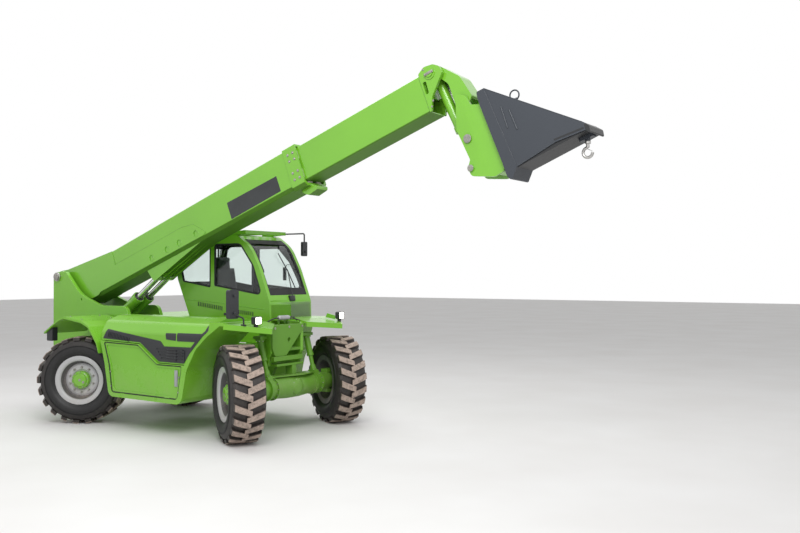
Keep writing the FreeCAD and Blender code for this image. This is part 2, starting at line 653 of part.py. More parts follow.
def grille_outlines():
    # x, z, corner radius: the dark band under the hood's shoulder, and the two windows over its green blade
    band = [(-880.0, 1256.0, 10.0), (-790.0, 1390.0, 20.0), (-230.0, 1322.0, 60.0), (285.0, 1262.0, 30.0),
            (352.0, 1194.0, 20.0), (850.0, 1200.0, 10.0), (1075.0, 1420.0, 20.0), (1100.0, 1520.0),
            (1178.0, 1520.0), (1163.0, 1450.0, 20.0), (826.0, 1118.0, 20.0), (728.0, 984.0, 20.0),
            (250.0, 988.0, 30.0), (-116.0, 1230.0, 30.0)]
    front = [(596.0, 1380.0, 12.0), (1036.0, 1384.0), (930.0, 1274.0), (596.0, 1272.0, 8.0)]
    rear = [(378.0, 1372.0, 12.0), (574.0, 1374.0, 12.0), (574.0, 1276.0, 8.0), (392.0, 1288.0, 12.0)]
    return band, front, rear


def band_skin(out, deep):
    """The band and its windows as skins that follow the hood, from one inset of its section to another."""
    band, front, rear = [prism(points, "y", -SIDE_OUT - 60.0, -900.0) for points in grille_outlines()]
    over = prism(body_section(out), "x", -1000.0, 1250.0)
    under = prism(body_section(deep), "x", -1010.0, 1260.0)
    layer = over.cut(under)
    return loose([joined([band, front]).common(layer), rear.common(layer)])


def hood_grille():
    skins = band_skin(-GRILLE_OUT, GRILLE_DEEP - SEAT_GAP)
    y0 = -1200.0 - GRILLE_OUT
    slots = []
    for k in range(LOUVRES):
        z = 1030.0 + 38.0 * k
        slots.append(box(300.0 - 30.0 * k, 700.0 + 26.0 * k, y0 - 2.0, y0 + 9.0, z, z + 20.0))
    return loose(skins.cut(Part.makeCompound(slots)).Solids)


def engine_block():
    block = box(-520.0, 560.0, -1050.0, -560.0, 640.0, 1290.0)
    feet = [box(-400.0, -300.0, -560.0, -SIDE_IN - PANEL_T, 700.0, 800.0),
            box(350.0, 450.0, -560.0, -SIDE_IN - PANEL_T, 700.0, 800.0)]
    return joined([block] + feet)


# Fenders, lamps and mirrors

def fender_top(x):
    """The height of the front plates' upper face, level by the body and falling towards the nose."""
    return FENDER_TOP - max(0.0, x - FENDER_BEND_X) * FENDER_FALL


def front_fenders():
    """Plates over the front wheels, cut back at their outer front corner, with a lip round the edge."""
    bend, tip = FENDER_BEND_X, FENDER_TIP_X
    start = bend + SEAT_GAP
    inner = RAIL_OUT + SEAT_GAP
    low = FENDER_TOP - FENDER_LIP
    profile = [(900.0, FENDER_TOP), (bend, FENDER_TOP), (tip, fender_top(tip)), (tip, fender_top(tip) - FENDER_LIP),
               (bend, low), (900.0, low)]
    under = [(850.0, FENDER_TOP - FENDER_T), (bend, FENDER_TOP - FENDER_T), (tip, fender_top(tip) - FENDER_T),
             (tip, 1300.0), (850.0, 1300.0)]
    right_plan = [(start, -SIDE_OUT + 4.0), (tip, -FENDER_TIP_Y, 30.0), (WHEELBASE / 2.0 + 70.0, BOOM_Y - inner),
                  (start, BOOM_Y - inner)]
    right_open = [(start - 20.0, -SIDE_OUT + 40.0), (tip - 24.0, -FENDER_TIP_Y + 16.0, 20.0),
                  (WHEELBASE / 2.0 + 46.0, BOOM_Y + 10.0), (start - 20.0, BOOM_Y + 10.0)]
    slab = prism(profile, "y", -SIDE_OUT, SIDE_OUT)
    hollow = prism(under, "y", -SIDE_OUT, SIDE_OUT)
    right = slab.common(prism(right_plan, "z", 1300.0, 1600.0))
    right = right.cut(hollow.common(prism(right_open, "z", 1300.0, 1600.0)))
    left_plan = [(962.0, BOOM_Y + inner), (962.0, 1200.0, 40.0), (bend - 40.0, SIDE_OUT - 10.0, 60.0),
                 (tip, FENDER_TIP_Y, 30.0), (WHEELBASE / 2.0 + 70.0, BOOM_Y + inner)]
    left_open = [(940.0, BOOM_Y + inner - 20.0), (940.0, 1176.0), (bend - 50.0, SIDE_OUT - 34.0, 50.0),
                 (tip - 24.0, FENDER_TIP_Y - 16.0, 20.0), (WHEELBASE / 2.0 + 46.0, BOOM_Y + inner - 20.0)]
    left = slab.common(prism(left_plan, "z", 1300.0, 1600.0))
    left = left.cut(hollow.common(prism(left_open, "z", 1300.0, 1600.0)))
    skirt = prism([(828.0, 1020.0 + SEAT_GAP), (858.0, 1020.0 + SEAT_GAP), (995.0, 1460.0, 80.0),
                   (995.0, FENDER_TOP), (962.0, FENDER_TOP), (962.0, 1470.0, 80.0)], "y", 560.0, 1200.0)
    return loose([right, joined([left, skirt])])


def fender_strip(thick):
    # x, z of the rear fender's upper and lower face
    upper = [(-2180.0, 1300.0), (-1840.0, 1502.0, 90.0), (-1735.0, 1538.0, 90.0), (-1335.0, 1482.0, 160.0),
             (-1180.0, 1420.0, 120.0), (-1000.0, 1200.0, 90.0), (-930.0, 1010.0)]
    lower = [(x - 0.3 * thick, z - thick) + tuple(r) for x, z, *r in reversed(upper)]
    return upper + lower


def rear_fenders():
    right = prism(fender_strip(FENDER_T), "y", -SIDE_OUT, -SIDE_IN)
    right = right.cut(box(-960.0, 0.0, -SIDE_OUT - 5.0, -SIDE_IN + 5.0, 400.0, 1700.0))
    left = prism(fender_strip(FENDER_T), "y", BOOM_Y + RAIL_OUT, SIDE_OUT)
    inner_right = box(-1900.0, -1500.0, -SIDE_IN, BOOM_Y - RAIL_OUT, 1440.0, 1466.0)
    return loose([joined([right, inner_right]), left])


def lamp_housing(x, y, z, facing):
    body = prism([(y - 62.0, z - 52.0, 22.0), (y + 62.0, z - 52.0, 22.0), (y + 62.0, z + 52.0, 22.0),
                  (y - 62.0, z + 52.0, 22.0)], "x", x, x + facing * 66.0)
    return body


def headlamps():
    pieces = []
    x = WHEELBASE / 2.0 + 134.0
    for y in (-888.0, 888.0):
        lamp = lamp_housing(x, y, FENDER_TOP + 38.0, 1.0)
        foot = prism([(x + 6.0, fender_top(x + 6.0) + SEAT_GAP), (x + 44.0, fender_top(x + 44.0) + SEAT_GAP),
                      (x + 44.0, FENDER_TOP - 10.0), (x + 6.0, FENDER_TOP - 10.0)], "y", y - 22.0, y + 22.0)
        pieces.append(joined([lamp, foot]))
    return loose(pieces)


def tail_lamps():
    pieces = []
    for y in (-1150.0, 1150.0):
        pieces.append(prism([(-2150.0, 1170.0, 14.0), (-2150.0, 1294.0), (-2020.0, 1371.0), (-2020.0, 1170.0, 14.0)],
                            "y", y - 46.0, y + 46.0))
    return loose(pieces)


def mirrors():
    arm_r = 11.0
    x = 1600.0
    foot = prism([(x - 30.0, fender_top(x - 30.0) + SEAT_GAP), (x + 30.0, fender_top(x + 30.0) + SEAT_GAP),
                  (x + 30.0, FENDER_TOP - 12.0), (x - 30.0, FENDER_TOP - 8.0)], "y", -1032.0, -990.0)
    right_arm = bent_bar([vec(x, -1010.0, FENDER_TOP - 16.0), vec(x, -1010.0, FENDER_TOP + 70.0),
                          vec(1520.0, -1130.0, FENDER_TOP + 130.0), vec(1520.0, -1130.0, 1900.0)], arm_r, 40.0)
    right_glass = prism([(-1215.0, 1590.0, 30.0), (-1045.0, 1590.0, 30.0), (-1045.0, 1960.0, 30.0),
                         (-1215.0, 1960.0, 30.0)], "x", 1490.0, 1550.0)
    z = CAB_ROOF_Z + 40.0
    left_arm = bent_bar([vec(450.0, CAB_LEFT - 60.0 + SEAT_GAP, z), vec(450.0, SIDE_OUT - 40.0, z),
                         vec(815.0, SIDE_OUT - 40.0, z), vec(815.0, SIDE_OUT - 40.0, 2460.0)], arm_r, 26.0)
    left_glass = prism([(SIDE_OUT - 100.0, 2430.0, 20.0), (SIDE_OUT + 10.0, 2430.0, 20.0),
                        (SIDE_OUT + 10.0, 2650.0, 20.0), (SIDE_OUT - 100.0, 2650.0, 20.0)], "x", 796.0, 836.0)
    return loose([joined([foot, right_arm, right_glass]), joined([left_arm, left_glass])])


# Cab

def cab_profile(inset):
    # x, z, corner radius, from the floor's rear corner round the roof to the floor's front corner
    return [(-600.0 + inset, CAB_FLOOR_Z + inset, 60.0), (-672.0 + inset, 1500.0, 200.0),
            (-945.0 + inset, 2110.0, 200.0), (-880.0 + inset, CAB_ROOF_Z - inset, 150.0),
            (300.0, CAB_ROOF_Z - inset, 160.0), (560.0 - inset, 2560.0, 500.0), (740.0 - inset, 2237.0, 900.0),
            (930.0 - inset, 1760.0, 300.0), (940.0 - inset, 1450.0, 200.0), (800.0 - inset, CAB_FLOOR_Z + inset, 80.0)]


def window_outlines():
    # the right side's two panes and the left side's rear pane, x, z, corner radius
    rear = [(-815.0, 2040.0, 40.0), (-232.0, 1955.0, 30.0), (-232.0, 2612.0, 60.0), (-790.0, 2612.0, 120.0),
            (-872.0, 2250.0, 60.0)]
    front = [(-158.0, 1980.0, 30.0), (795.0, 1848.0, 60.0), (625.0, 2290.0, 300.0), (370.0, 2612.0, 120.0),
             (-158.0, 2612.0, 60.0)]
    return rear, front


def door_opening(inset):
    return [(-190.0 + inset, CAB_FLOOR_Z + 90.0 + inset, 40.0), (810.0 - inset, CAB_FLOOR_Z + 90.0 + inset, 60.0),
            (852.0 - inset, 1740.0, 200.0), (660.0 - inset, 2240.0, 500.0), (330.0 - inset, 2640.0 - inset, 120.0),
            (-190.0 + inset, 2640.0 - inset, 60.0)]


def screen_cut(inset):
    return [(330.0 + inset, 2670.0 - inset), (1000.0, 2670.0 - inset), (1000.0, 1850.0 + inset),
            (760.0, 1850.0 + inset), (330.0 + inset, 2500.0)]


def back_cut(inset):
    return [(-1000.0, 2040.0 + inset), (-760.0, 2040.0 + inset), (-760.0, 2560.0 - inset),
            (-1000.0, 2560.0 - inset)]


def cab_frame():
    """The cabin: two side walls, and the floor, back, roof and front between them, with windows and doorway cut."""
    rear, front = window_outlines()
    y0, y1 = CAB_RIGHT + CAB_WALL, CAB_LEFT - CAB_WALL
    right = prism(cab_profile(0.0), "y", CAB_RIGHT, y0)
    right = right.cut(loose([prism(rear, "y", CAB_RIGHT - 5.0, y0 + 5.0), prism(front, "y", CAB_RIGHT - 5.0, y0 + 5.0)]))
    left = prism(cab_profile(0.0), "y", y1, CAB_LEFT)
    left = left.cut(loose([prism(rear, "y", y1 - 5.0, CAB_LEFT + 5.0),
                           prism(door_opening(0.0), "y", y1 - 5.0, CAB_LEFT + 5.0)]))
    lugs = []
    for z in CAB_HINGE_Z:
        top, low = z + 110.0, z + 70.0 + SEAT_GAP
        lugs.append(joined([bar(vec(CAB_HINGE_X, CAB_HINGE_Y, low), vec(CAB_HINGE_X, CAB_HINGE_Y, top), 12.0),
                            box(CAB_HINGE_X - 46.0, CAB_HINGE_X, CAB_LEFT - 10.0, CAB_HINGE_Y + 12.0, low, top)]))
    pins = [bar(vec(CAB_HINGE_X, CAB_HINGE_Y, z), vec(CAB_HINGE_X, CAB_HINGE_Y, z + 100.3), 8.0 + PIN_GAP)
            for z in CAB_HINGE_Z]
    left = joined([left] + lugs).cut(Part.makeCompound(pins))
    ring = prism(cab_profile(0.0), "y", y0, y1).cut(prism(cab_profile(CAB_WALL), "y", y0 - 5.0, y1 + 5.0))
    # windscreen, rear pane and roof pane are cut through the ring's thickness
    cuts = [prism(screen_cut(0.0), "y", y0 + 16.0, y1 - 16.0), prism(back_cut(0.0), "y", y0 + 16.0, y1 - 16.0),
            box(-520.0, 180.0, y0 + 76.0, y1 - 76.0, CAB_ROOF_Z - 80.0, CAB_ROOF_Z + 10.0)]
    ring = ring.cut(Part.makeCompound(cuts))
    floor_top, roof_low = CAB_FLOOR_Z + CAB_WALL, CAB_ROOF_Z - CAB_WALL
    zones = [(-1100.0, 1100.0, CAB_FLOOR_Z - 10.0, floor_top), (-1100.0, 1100.0, roof_low, CAB_ROOF_Z + 10.0),
             (-1100.0, -100.0, floor_top, roof_low), (-100.0, 1100.0, floor_top, roof_low)]
    parts = []
    for x0, x1, z0, z1 in zones:
        parts += ring.common(box(x0, x1, y0 - 10.0, y1 + 10.0, z0, z1)).Solids
    return loose([right, left] + parts)


def cab_glass():
    rear, front = window_outlines()
    middle = CAB_WALL / 2.0 - GLASS_T / 2.0

    def pane(points, y0):
        return prism(shrunk(points), "y", y0, y0 + GLASS_T)

    panes = [pane(rear, CAB_RIGHT + middle), pane(front, CAB_RIGHT + middle),
             pane(rear, CAB_LEFT - CAB_WALL + middle)]
    y0, y1 = CAB_RIGHT + 62.0 + GLASS_GAP, CAB_LEFT - 62.0 - GLASS_GAP
    skin = prism(cab_profile(middle), "y", y0, y1).cut(prism(cab_profile(middle + GLASS_T), "y", y0 - 5, y1 + 5))
    screen = skin.common(prism(screen_cut(1.0), "y", y0, y1))
    back = skin.common(prism(back_cut(1.0), "y", y0, y1))
    roof_pane = box(-520.0 + 0.5, 180.0 - 0.5, y0 + 60.5, y1 - 60.5, CAB_ROOF_Z - 26.0, CAB_ROOF_Z - 18.0)
    return loose(panes + [screen, back, roof_pane])


def shrunk(points):
    """The outline drawn in by the glass gap towards its middle."""
    mid_a = sum(p[0] for p in points) / len(points)
    mid_b = sum(p[1] for p in points) / len(points)
    small = []
    for a, b, r in points:
        reach = math.hypot(a - mid_a, b - mid_b)
        scale = (reach - 1.5) / reach
        small.append((mid_a + (a - mid_a) * scale, mid_b + (b - mid_b) * scale, r))
    return small


def roof_guard():
    """The bar frame in front of the roof, on two brackets at the tops of the front posts."""
    z = CAB_ROOF_Z + 6.0
    bars = [box(420.0, 480.0, CAB_RIGHT - 10.0, CAB_LEFT - 60.0, z + 10.0, z + 60.0)]
    for y in (CAB_RIGHT + 10.0, CAB_LEFT - 130.0):
        bars.append(prism([(60.0, CAB_ROOF_Z + SEAT_GAP), (60.0, z + 50.0, 20.0), (470.0, z + 60.0),
                           (470.0, z + 10.0), (240.0, CAB_ROOF_Z + SEAT_GAP)], "y", y, y + 50.0))
    for k in range(4):
        y = CAB_RIGHT + 190.0 + 165.0 * k
        bars.append(box(-560.0, 440.0, y, y + 26.0, z + 16.0, z + 42.0))
    bars.append(box(-600.0, -540.0, CAB_RIGHT + 60.0, CAB_LEFT - 60.0, CAB_ROOF_Z + SEAT_GAP, z + 50.0))
    return joined(bars)


def door_y():
    return CAB_LEFT - CAB_WALL + 6.0


def cab_door():
    y0 = door_y()
    panel = prism(door_opening(DOOR_GAP), "y", y0, y0 + 34.0)
    upper = [(-120.0, 1990.0, 30.0), (770.0, 1905.0, 60.0), (590.0, 2290.0, 300.0), (300.0, 2570.0, 90.0),
             (-120.0, 2570.0, 40.0)]
    lower = [(-110.0, 1330.0, 40.0), (730.0, 1330.0, 50.0), (780.0, 1700.0, 100.0), (740.0, 1820.0, 40.0),
             (-110.0, 1900.0, 30.0)]
    panel = panel.cut(prism(upper, "y", y0 - 5, y0 + 40.0)).cut(prism(lower, "y", y0 - 5, y0 + 40.0))
    handle = joined([box(610.0, 730.0, y0 + 34.0, y0 + 46.0, 1840.0, 1862.0)])
    hinges = []
    for z in CAB_HINGE_Z:
        hinges.append(bar(vec(CAB_HINGE_X, CAB_HINGE_Y, z), vec(CAB_HINGE_X, CAB_HINGE_Y, z + 70.0), 12.0))
        hinges.append(bar(vec(CAB_HINGE_X, CAB_HINGE_Y, z), vec(CAB_HINGE_X, CAB_HINGE_Y, z + 100.0), 8.0))
        hinges.append(box(CAB_HINGE_X, CAB_HINGE_X + 40.0, CAB_HINGE_Y - 9.0, CAB_HINGE_Y, z, z + 70.0))
        hinges.append(box(CAB_HINGE_X + 24.0, CAB_HINGE_X + 40.0, y0 + 30.0, CAB_HINGE_Y, z, z + 70.0))
    return joined([panel, handle] + hinges), upper, lower


def cab_door_glass():
    y0 = door_y()
    door, upper, lower = cab_door()
    return loose([prism(shrunk(upper), "y", y0 + 13.0, y0 + 13.0 + GLASS_T),
                  prism(shrunk(lower), "y", y0 + 13.0, y0 + 13.0 + GLASS_T)])


CAB_MID = (CAB_RIGHT + CAB_LEFT) / 2.0


def seat_base():
    z0 = CAB_FLOOR_Z + CAB_WALL + SEAT_GAP
    return joined([box(-380.0, 20.0, CAB_MID - 190.0, CAB_MID + 190.0, z0, z0 + 50.0),
                   box(-340.0, -20.0, CAB_MID - 150.0, CAB_MID + 150.0, z0 + 50.0, z0 + 250.0),
                   box(-400.0, 40.0, CAB_MID - 210.0, CAB_MID + 210.0, z0 + 250.0, z0 + 290.0),
                   prism([(-300.0, CAB_MID - 205.0), (-60.0, CAB_MID - 205.0), (60.0, CAB_MID - 255.0),
                          (120.0, CAB_MID - 255.0, 20.0), (120.0, CAB_MID - 330.0, 20.0),
                          (-300.0, CAB_MID - 330.0)], "z", z0 + 252.0, z0 + 288.0)])


def seat_top_z():
    return CAB_FLOOR_Z + CAB_WALL + SEAT_GAP + 290.0


def seat_cushion():
    z0 = seat_top_z() + SEAT_GAP
    return prism([(-360.0, z0, 20.0), (100.0, z0, 30.0), (110.0, z0 + 110.0, 40.0), (-360.0, z0 + 120.0, 30.0)],
                 "y", CAB_MID - 245.0, CAB_MID + 245.0)


def seat_back():
    z0 = seat_top_z() + 120.0
    lean = [(-380.0, z0 + 6.0, 30.0), (-270.0, z0 + 6.0, 30.0), (-385.0, z0 + 620.0, 40.0),
            (-400.0, z0 + 830.0, 40.0), (-480.0, z0 + 830.0, 40.0), (-500.0, z0 + 600.0, 40.0)]
    lower = prism(lean, "y", CAB_MID - 235.0, CAB_MID + 235.0)
    trim = [box(-700.0, 0.0, CAB_MID - 260.0, CAB_MID - 130.0, z0 + 640.0, z0 + 900.0),
            box(-700.0, 0.0, CAB_MID + 130.0, CAB_MID + 260.0, z0 + 640.0, z0 + 900.0)]
    mount = prism([(-400.0, seat_top_z() + SEAT_GAP), (-372.0, seat_top_z() + SEAT_GAP), (-372.0, z0 + 20.0),
                   (-400.0, z0 + 20.0)], "y", CAB_MID - 120.0, CAB_MID + 120.0)
    return joined([lower.cut(Part.makeCompound(trim)), mount])


def steering_console():
    """The dash pod and column with the steering wheel on it."""
    z0 = CAB_FLOOR_Z + CAB_WALL + SEAT_GAP
    pod = prism([(560.0, z0), (690.0, z0), (830.0, 1560.0, 60.0), (700.0, 1780.0, 60.0), (560.0, 1760.0, 60.0),
                 (600.0, 1500.0, 60.0)], "y", CAB_MID - 190.0, CAB_MID + 190.0)
    centre = vec(395.0, CAB_MID, 1850.0)
    lean = vec(-0.5, 0.0, 0.866)
    column = bar(vec(600.0, CAB_MID, 1850.0 - 355.0), centre + lean * 10.0, 32.0)
    wheel = Part.makeTorus(190.0, 15.0)
    wheel.Placement = Placement(centre, Rotation(vec(0, 0, 1), lean))
    spokes = []
    for turn in (90.0, 210.0, 330.0):
        spoke = box(0.0, 185.0, -16.0, 16.0, -7.0, 7.0)
        spoke.Placement = Placement(centre, Rotation(vec(0, 0, 1), lean)).multiply(
            Placement(vec(0, 0, 0), Rotation(vec(0, 0, 1), turn)))
        spokes.append(spoke)
    hub_disc = Part.makeCylinder(55.0, 24.0, centre - lean * 12.0, lean)
    return joined([pod, column, wheel, hub_disc] + spokes)


def left_tank():
    """The tank and locker under the cab, with recessed steps in its outer side."""
    body = prism([(-735.0, 455.0, 90.0), (690.0, 440.0, 100.0), (800.0, 900.0, 300.0), (870.0, 1020.0),
                  (-850.0, 1020.0), (-821.0, 899.0, 200.0)], "y", BOOM_Y + RAIL_OUT + 240.0, SIDE_OUT)
    recess = [box(-40.0, 560.0, 960.0, SIDE_OUT + 5.0, 500.0, 760.0),
              box(-40.0, 560.0, 1020.0, SIDE_OUT + 5.0, 790.0, 985.0)]
    body = body.cut(Part.makeCompound(recess))
    arms = [box(x - 50.0, x + 50.0, BOOM_Y + RAIL_OUT, BOOM_Y + RAIL_OUT + 240.0, RAIL_LOW + 60.0, RAIL_LOW + 220.0)
            for x in (-450.0, 400.0)]
    return joined([body] + arms)


def cab_steps():
    steps = []
    for y0, z0 in ((962.0, 500.0), (1022.0, 790.0)):
        steps.append(box(-40.0, 560.0, y0 - 5.0, SIDE_OUT - 8.0, z0 - 5.0, z0 + 14.0))
    return loose(steps)


# Boom

def tube_section(width, top, low, top_round, chamfer):
    half = width / 2.0
    return [(-half, top, top_round), (half, top, top_round), (half, low + chamfer, 12.0),
            (half - chamfer, low, 12.0), (-half + chamfer, low, 12.0), (-half, low + chamfer, 12.0)]


def tube(width, top, low, top_round, chamfer, wall, u0, u1):
    outer = prism(tube_section(width, top, low, top_round, chamfer), "x", u0, u1)
    inner = prism(tube_section(width - 2 * wall, top - wall, low + wall, max(top_round - wall, 1.0),
                               max(chamfer - 0.6 * wall, 4.0)), "x", u0 - 1.0, u1 + 1.0)
    return outer.cut(inner)


def boom_outer():
    """The fixed stage: pivot lugs, box tube, doubler plates, front collar and the cylinders' bracket."""
    start = 330.0
    shell = tube(OUTER_W, OUTER_TOP, OUTER_LOW, 22.0, OUTER_CHAMFER, OUTER_WALL, start, OUTER_END)
    half = OUTER_W / 2.0
    # u, v: cheek plates that carry the pivot, and the raised cover over them
    lug = [(-120.0, 0.0, 110.0), (-60.0, 120.0, 90.0), (130.0, 74.0, 40.0), (1220.0, OUTER_TOP - 4.0),
           (1220.0, -250.0, 30.0), (700.0, -560.0, 60.0), (520.0, -560.0, 60.0), (-80.0, -110.0, 90.0)]
    cheeks = [prism(lug, "y", half - 34.0, half + 8.0), prism(lug, "y", -half - 8.0, -half + 34.0)]
    pieces = [shell] + cheeks
    pieces.append(cross_bar(0.0, 0.0, -RAIL_OUT + RAIL_T + 5.0, RAIL_OUT - RAIL_T - 5.0, 92.0))
    pieces.append(prism([(130.0, 62.0), (1215.0, OUTER_TOP - 6.0), (1215.0, OUTER_TOP - 18.0), (130.0, 46.0)],
                        "y", -half + 30.0, half - 30.0))
    # doubler plates low on the rear sides, with four round sockets each
    doubler = [(700.0, -255.0, 20.0), (2740.0, -262.0, 40.0), (2990.0, -305.0, 40.0), (3190.0, -505.0, 40.0),
               (3130.0, -528.0, 10.0), (700.0, -528.0, 20.0)]
    for side in (-1.0, 1.0):
        low, high = sorted((side * (half - 1.0), side * (half + 8.0)))
        pieces.append(prism(doubler, "y", low, high))
    # collar round the front end
    collar = prism(tube_section(OUTER_W + 2 * COLLAR_SIDE, OUTER_TOP + COLLAR_TOP, OUTER_LOW - COLLAR_T, 16.0,
                                OUTER_CHAMFER), "x", OUTER_END - 20.0, OUTER_END + COLLAR_LEN)
    bore = prism(tube_section(OUTER_W - 2 * OUTER_WALL, OUTER_TOP - OUTER_WALL, OUTER_LOW + OUTER_WALL, 10.0,
                              OUTER_CHAMFER - 8.0), "x", OUTER_END - 40.0, OUTER_END + COLLAR_LEN + 10.0)
    pieces.append(collar.cut(bore))
    low = OUTER_LOW - COLLAR_T
    bracket = [(4930.0, low + 20.0), (5110.0, low + 20.0), (5190.0, low - 36.0, 20.0), (5180.0, low - 80.0, 30.0),
               (5010.0, low - 98.0, 40.0), (4930.0, low - 30.0)]
    pieces.append(prism(bracket, "y", -110.0, 110.0))
    # bracket for the lift cylinders: a wedge, with lugs that straddle each rod eye
    wedge = [(LIFT_U + 170.0, OUTER_LOW + 2.0), (LIFT_U + 1090.0, OUTER_LOW + 2.0), (LIFT_U + 170.0, LIFT_V + 6.0)]
    eye_half = LIFT_EYE_W / 2.0 + 4.0
    wide = LIFT_HALF + eye_half + 22.0
    pieces.append(prism(wedge, "y", -wide, wide))
    ear = [(LIFT_U - 110.0, OUTER_LOW + 2.0), (LIFT_U + 1090.0, OUTER_LOW + 2.0), (LIFT_U + 170.0, LIFT_V - 20.0, 60.0),
           (LIFT_U, LIFT_V - 54.0, 50.0), (LIFT_U - 56.0, LIFT_V, 40.0)]
    for middle in (-LIFT_HALF, LIFT_HALF):
        for side in (-1.0, 1.0):
            face = middle + side * eye_half
            low, high = sorted((face, face + side * 22.0))
            pieces.append(prism(ear, "y", low, high))
            pieces.append(cross_bar(LIFT_U, LIFT_V, low, high, LIFT_PIN_R + 16.0))
    whole = joined(pieces)
    bores = [cross_bar(0.0, 0.0, -RAIL_OUT, RAIL_OUT, PIVOT_R + PIN_GAP)]
    for u in (2016.0, 2367.0, 2634.0, 2997.0):
        for side in (-1.0, 1.0):
            low, high = sorted((side * (half - 1.5), side * (half + 12.0)))
            bores.append(cross_bar(u, -450.0, low, high, 52.0))
    clear = box(start - 5.0, OUTER_END, -half + OUTER_WALL, half - OUTER_WALL, OUTER_LOW + OUTER_WALL + 50.0,
                OUTER_TOP - OUTER_WALL)
    return on_boom(whole.cut(Part.makeCompound(bores)).cut(clear))


def pivot_pin():
    pin = cross_bar(0.0, 0.0, -RAIL_OUT - 12.0, RAIL_OUT + 12.0, PIVOT_R)
    heads = [cross_bar(0.0, 0.0, -RAIL_OUT - 34.0, -RAIL_OUT - SEAT_GAP, PIVOT_R + 16.0),
             cross_bar(0.0, 0.0, RAIL_OUT + SEAT_GAP, RAIL_OUT + 34.0, PIVOT_R + 16.0)]
    return on_boom(joined([pin] + heads))


def boom_pads():
    """Sliding pads inside the collar that carry the inner stage."""
    u0 = OUTER_END + 30.0
    gap_side = (OUTER_W - 2 * OUTER_WALL - INNER_W) / 2.0
    half = INNER_W / 2.0
    top_gap = OUTER_TOP - OUTER_WALL - INNER_TOP
    low_gap = INNER_LOW - (OUTER_LOW + OUTER_WALL)
    pads = []
    for side in (-1.0, 1.0):
        y0, y1 = sorted((side * (half + SEAT_GAP), side * (half + gap_side)))
        pads.append(box(u0, u0 + PAD_LEN, y0, y1, INNER_TOP - 40.0 - PAD_W, INNER_TOP - 40.0))
        pads.append(box(u0, u0 + PAD_LEN, y0, y1, INNER_LOW + 50.0, INNER_LOW + 50.0 + PAD_W))
        y0, y1 = sorted((side * 40.0, side * (40.0 + PAD_W * 0.8)))
        pads.append(box(u0, u0 + PAD_LEN, y0, y1, INNER_LOW - low_gap, INNER_LOW - SEAT_GAP))
        pads.append(box(u0, u0 + PAD_LEN, y0, y1, INNER_TOP + SEAT_GAP, INNER_TOP + top_gap))
    return on_boom(loose(pads))


def boom_inner():
    return on_boom(tube(INNER_W, INNER_TOP, INNER_LOW, 14.0, INNER_CHAMFER, INNER_WALL, INNER_START, HEAD_START))


def boom_head():
    """The goose-neck: cheek plates at the tube's end, and a curved neck down to the coupler's pivot."""
    half = INNER_W / 2.0
    face = [(HEAD_START, INNER_LOW), (HEAD_START, INNER_TOP + 24.0, 30.0), (7242.0, 23.0, 60.0),
            (7370.0, -2.0, 70.0), (7440.0, -60.0, 60.0), (7462.0, -152.0, 40.0), (7369.0, -238.0, 60.0),
            (7226.0, -372.0, 60.0), (7160.0, INNER_LOW, 10.0)]
    cheeks = [prism(face, "y", HEAD_IN, half), prism(face, "y", -half, -HEAD_IN)]
    slot = prism([(7164.0, -150.0, 20.0), (7214.0, -150.0, 20.0), (7204.0, -310.0, 20.0), (7162.0, -310.0, 18.0)],
                 "y", -half - 5.0, half + 5.0)
    # the tube's end is closed above, and open below where the tilt cylinder swings back
    cap = box(HEAD_START, HEAD_START + 20.0, -half, half, -330.0, INNER_TOP)
    pu, pv = COUPLER_PIVOT
    neck = [(HEAD_START + 10.0, -60.0), (7242.0, 18.0, 60.0), (7420.0, -40.0, 60.0), (7630.0, -285.0, 140.0),
            (7700.0, -574.0, 60.0), (7585.0, -700.0, 80.0), (7596.0, -960.0, 60.0), (pu + 96.0, pv - 96.0, 90.0),
            (pu - 96.0, pv - 96.0, 90.0), (pu - 92.0, -900.0, 100.0), (7462.0, -590.0, 100.0),
            (7462.0, -300.0, 120.0), (7380.0, -185.0, 50.0), (HEAD_START + 10.0, -230.0)]
    plates = [prism(neck, "y", NECK_IN, NECK_OUT), prism(neck, "y", -NECK_OUT, -NECK_IN)]
    # the curved cover between the neck plates, over its upper front
    cover = [(7242.0, 18.0), (7420.0, -40.0, 60.0), (7630.0, -285.0, 140.0), (7700.0, -574.0, 60.0),
             (7676.0, -600.0), (7606.0, -292.0, 120.0), (7404.0, -64.0, 50.0), (7250.0, -12.0)]
    skin = prism(cover, "y", -NECK_OUT, NECK_OUT)
    u, v = TILT_TOP
    bosses = [cross_bar(u, v, NECK_IN, half + 10.0, 74.0), cross_bar(u, v, -half - 10.0, -NECK_IN, 74.0)]
    bosses += [cross_bar(pu, pv, NECK_IN - 4.0, NECK_OUT + 6.0, 84.0),
               cross_bar(pu, pv, -NECK_OUT - 6.0, -NECK_IN + 4.0, 84.0)]
    pin = joined([cross_bar(u, v, -half - 22.0, half + 22.0, TILT_PIN_R),
                  cross_bar(u, v, -half - 22.0, -half - 8.0, TILT_PIN_R + 14.0),
                  cross_bar(u, v, half + 8.0, half + 22.0, TILT_PIN_R + 14.0)])
    whole = joined(cheeks + [cap] + plates + [skin] + bosses).cut(slot)
    pivot = cross_bar(pu, pv, -half, half, COUPLER_PIN_R + PIN_GAP)
    return on_boom(joined([whole.cut(pivot), pin]))


def cylinder_between(base, tip, length, barrel_r, eye_w, pin_r, eye_r, middle):
    """A barrel from its base eye towards its rod end, in the xz plane, at y = middle."""
    way = Vector(tip.x - base.x, 0, tip.z - base.z).normalize()
    start = Vector(base.x, middle, base.z)
    end = start + way * length
    barrel = joined([bar(start + way * (eye_r * 0.6), end, barrel_r),
                     bar(end - way * 70.0, end, barrel_r + 10.0)])
    eye = cross_bar(base.x, base.z, middle - eye_w / 2.0, middle + eye_w / 2.0, eye_r)
    return barrel, eye, way, start, end


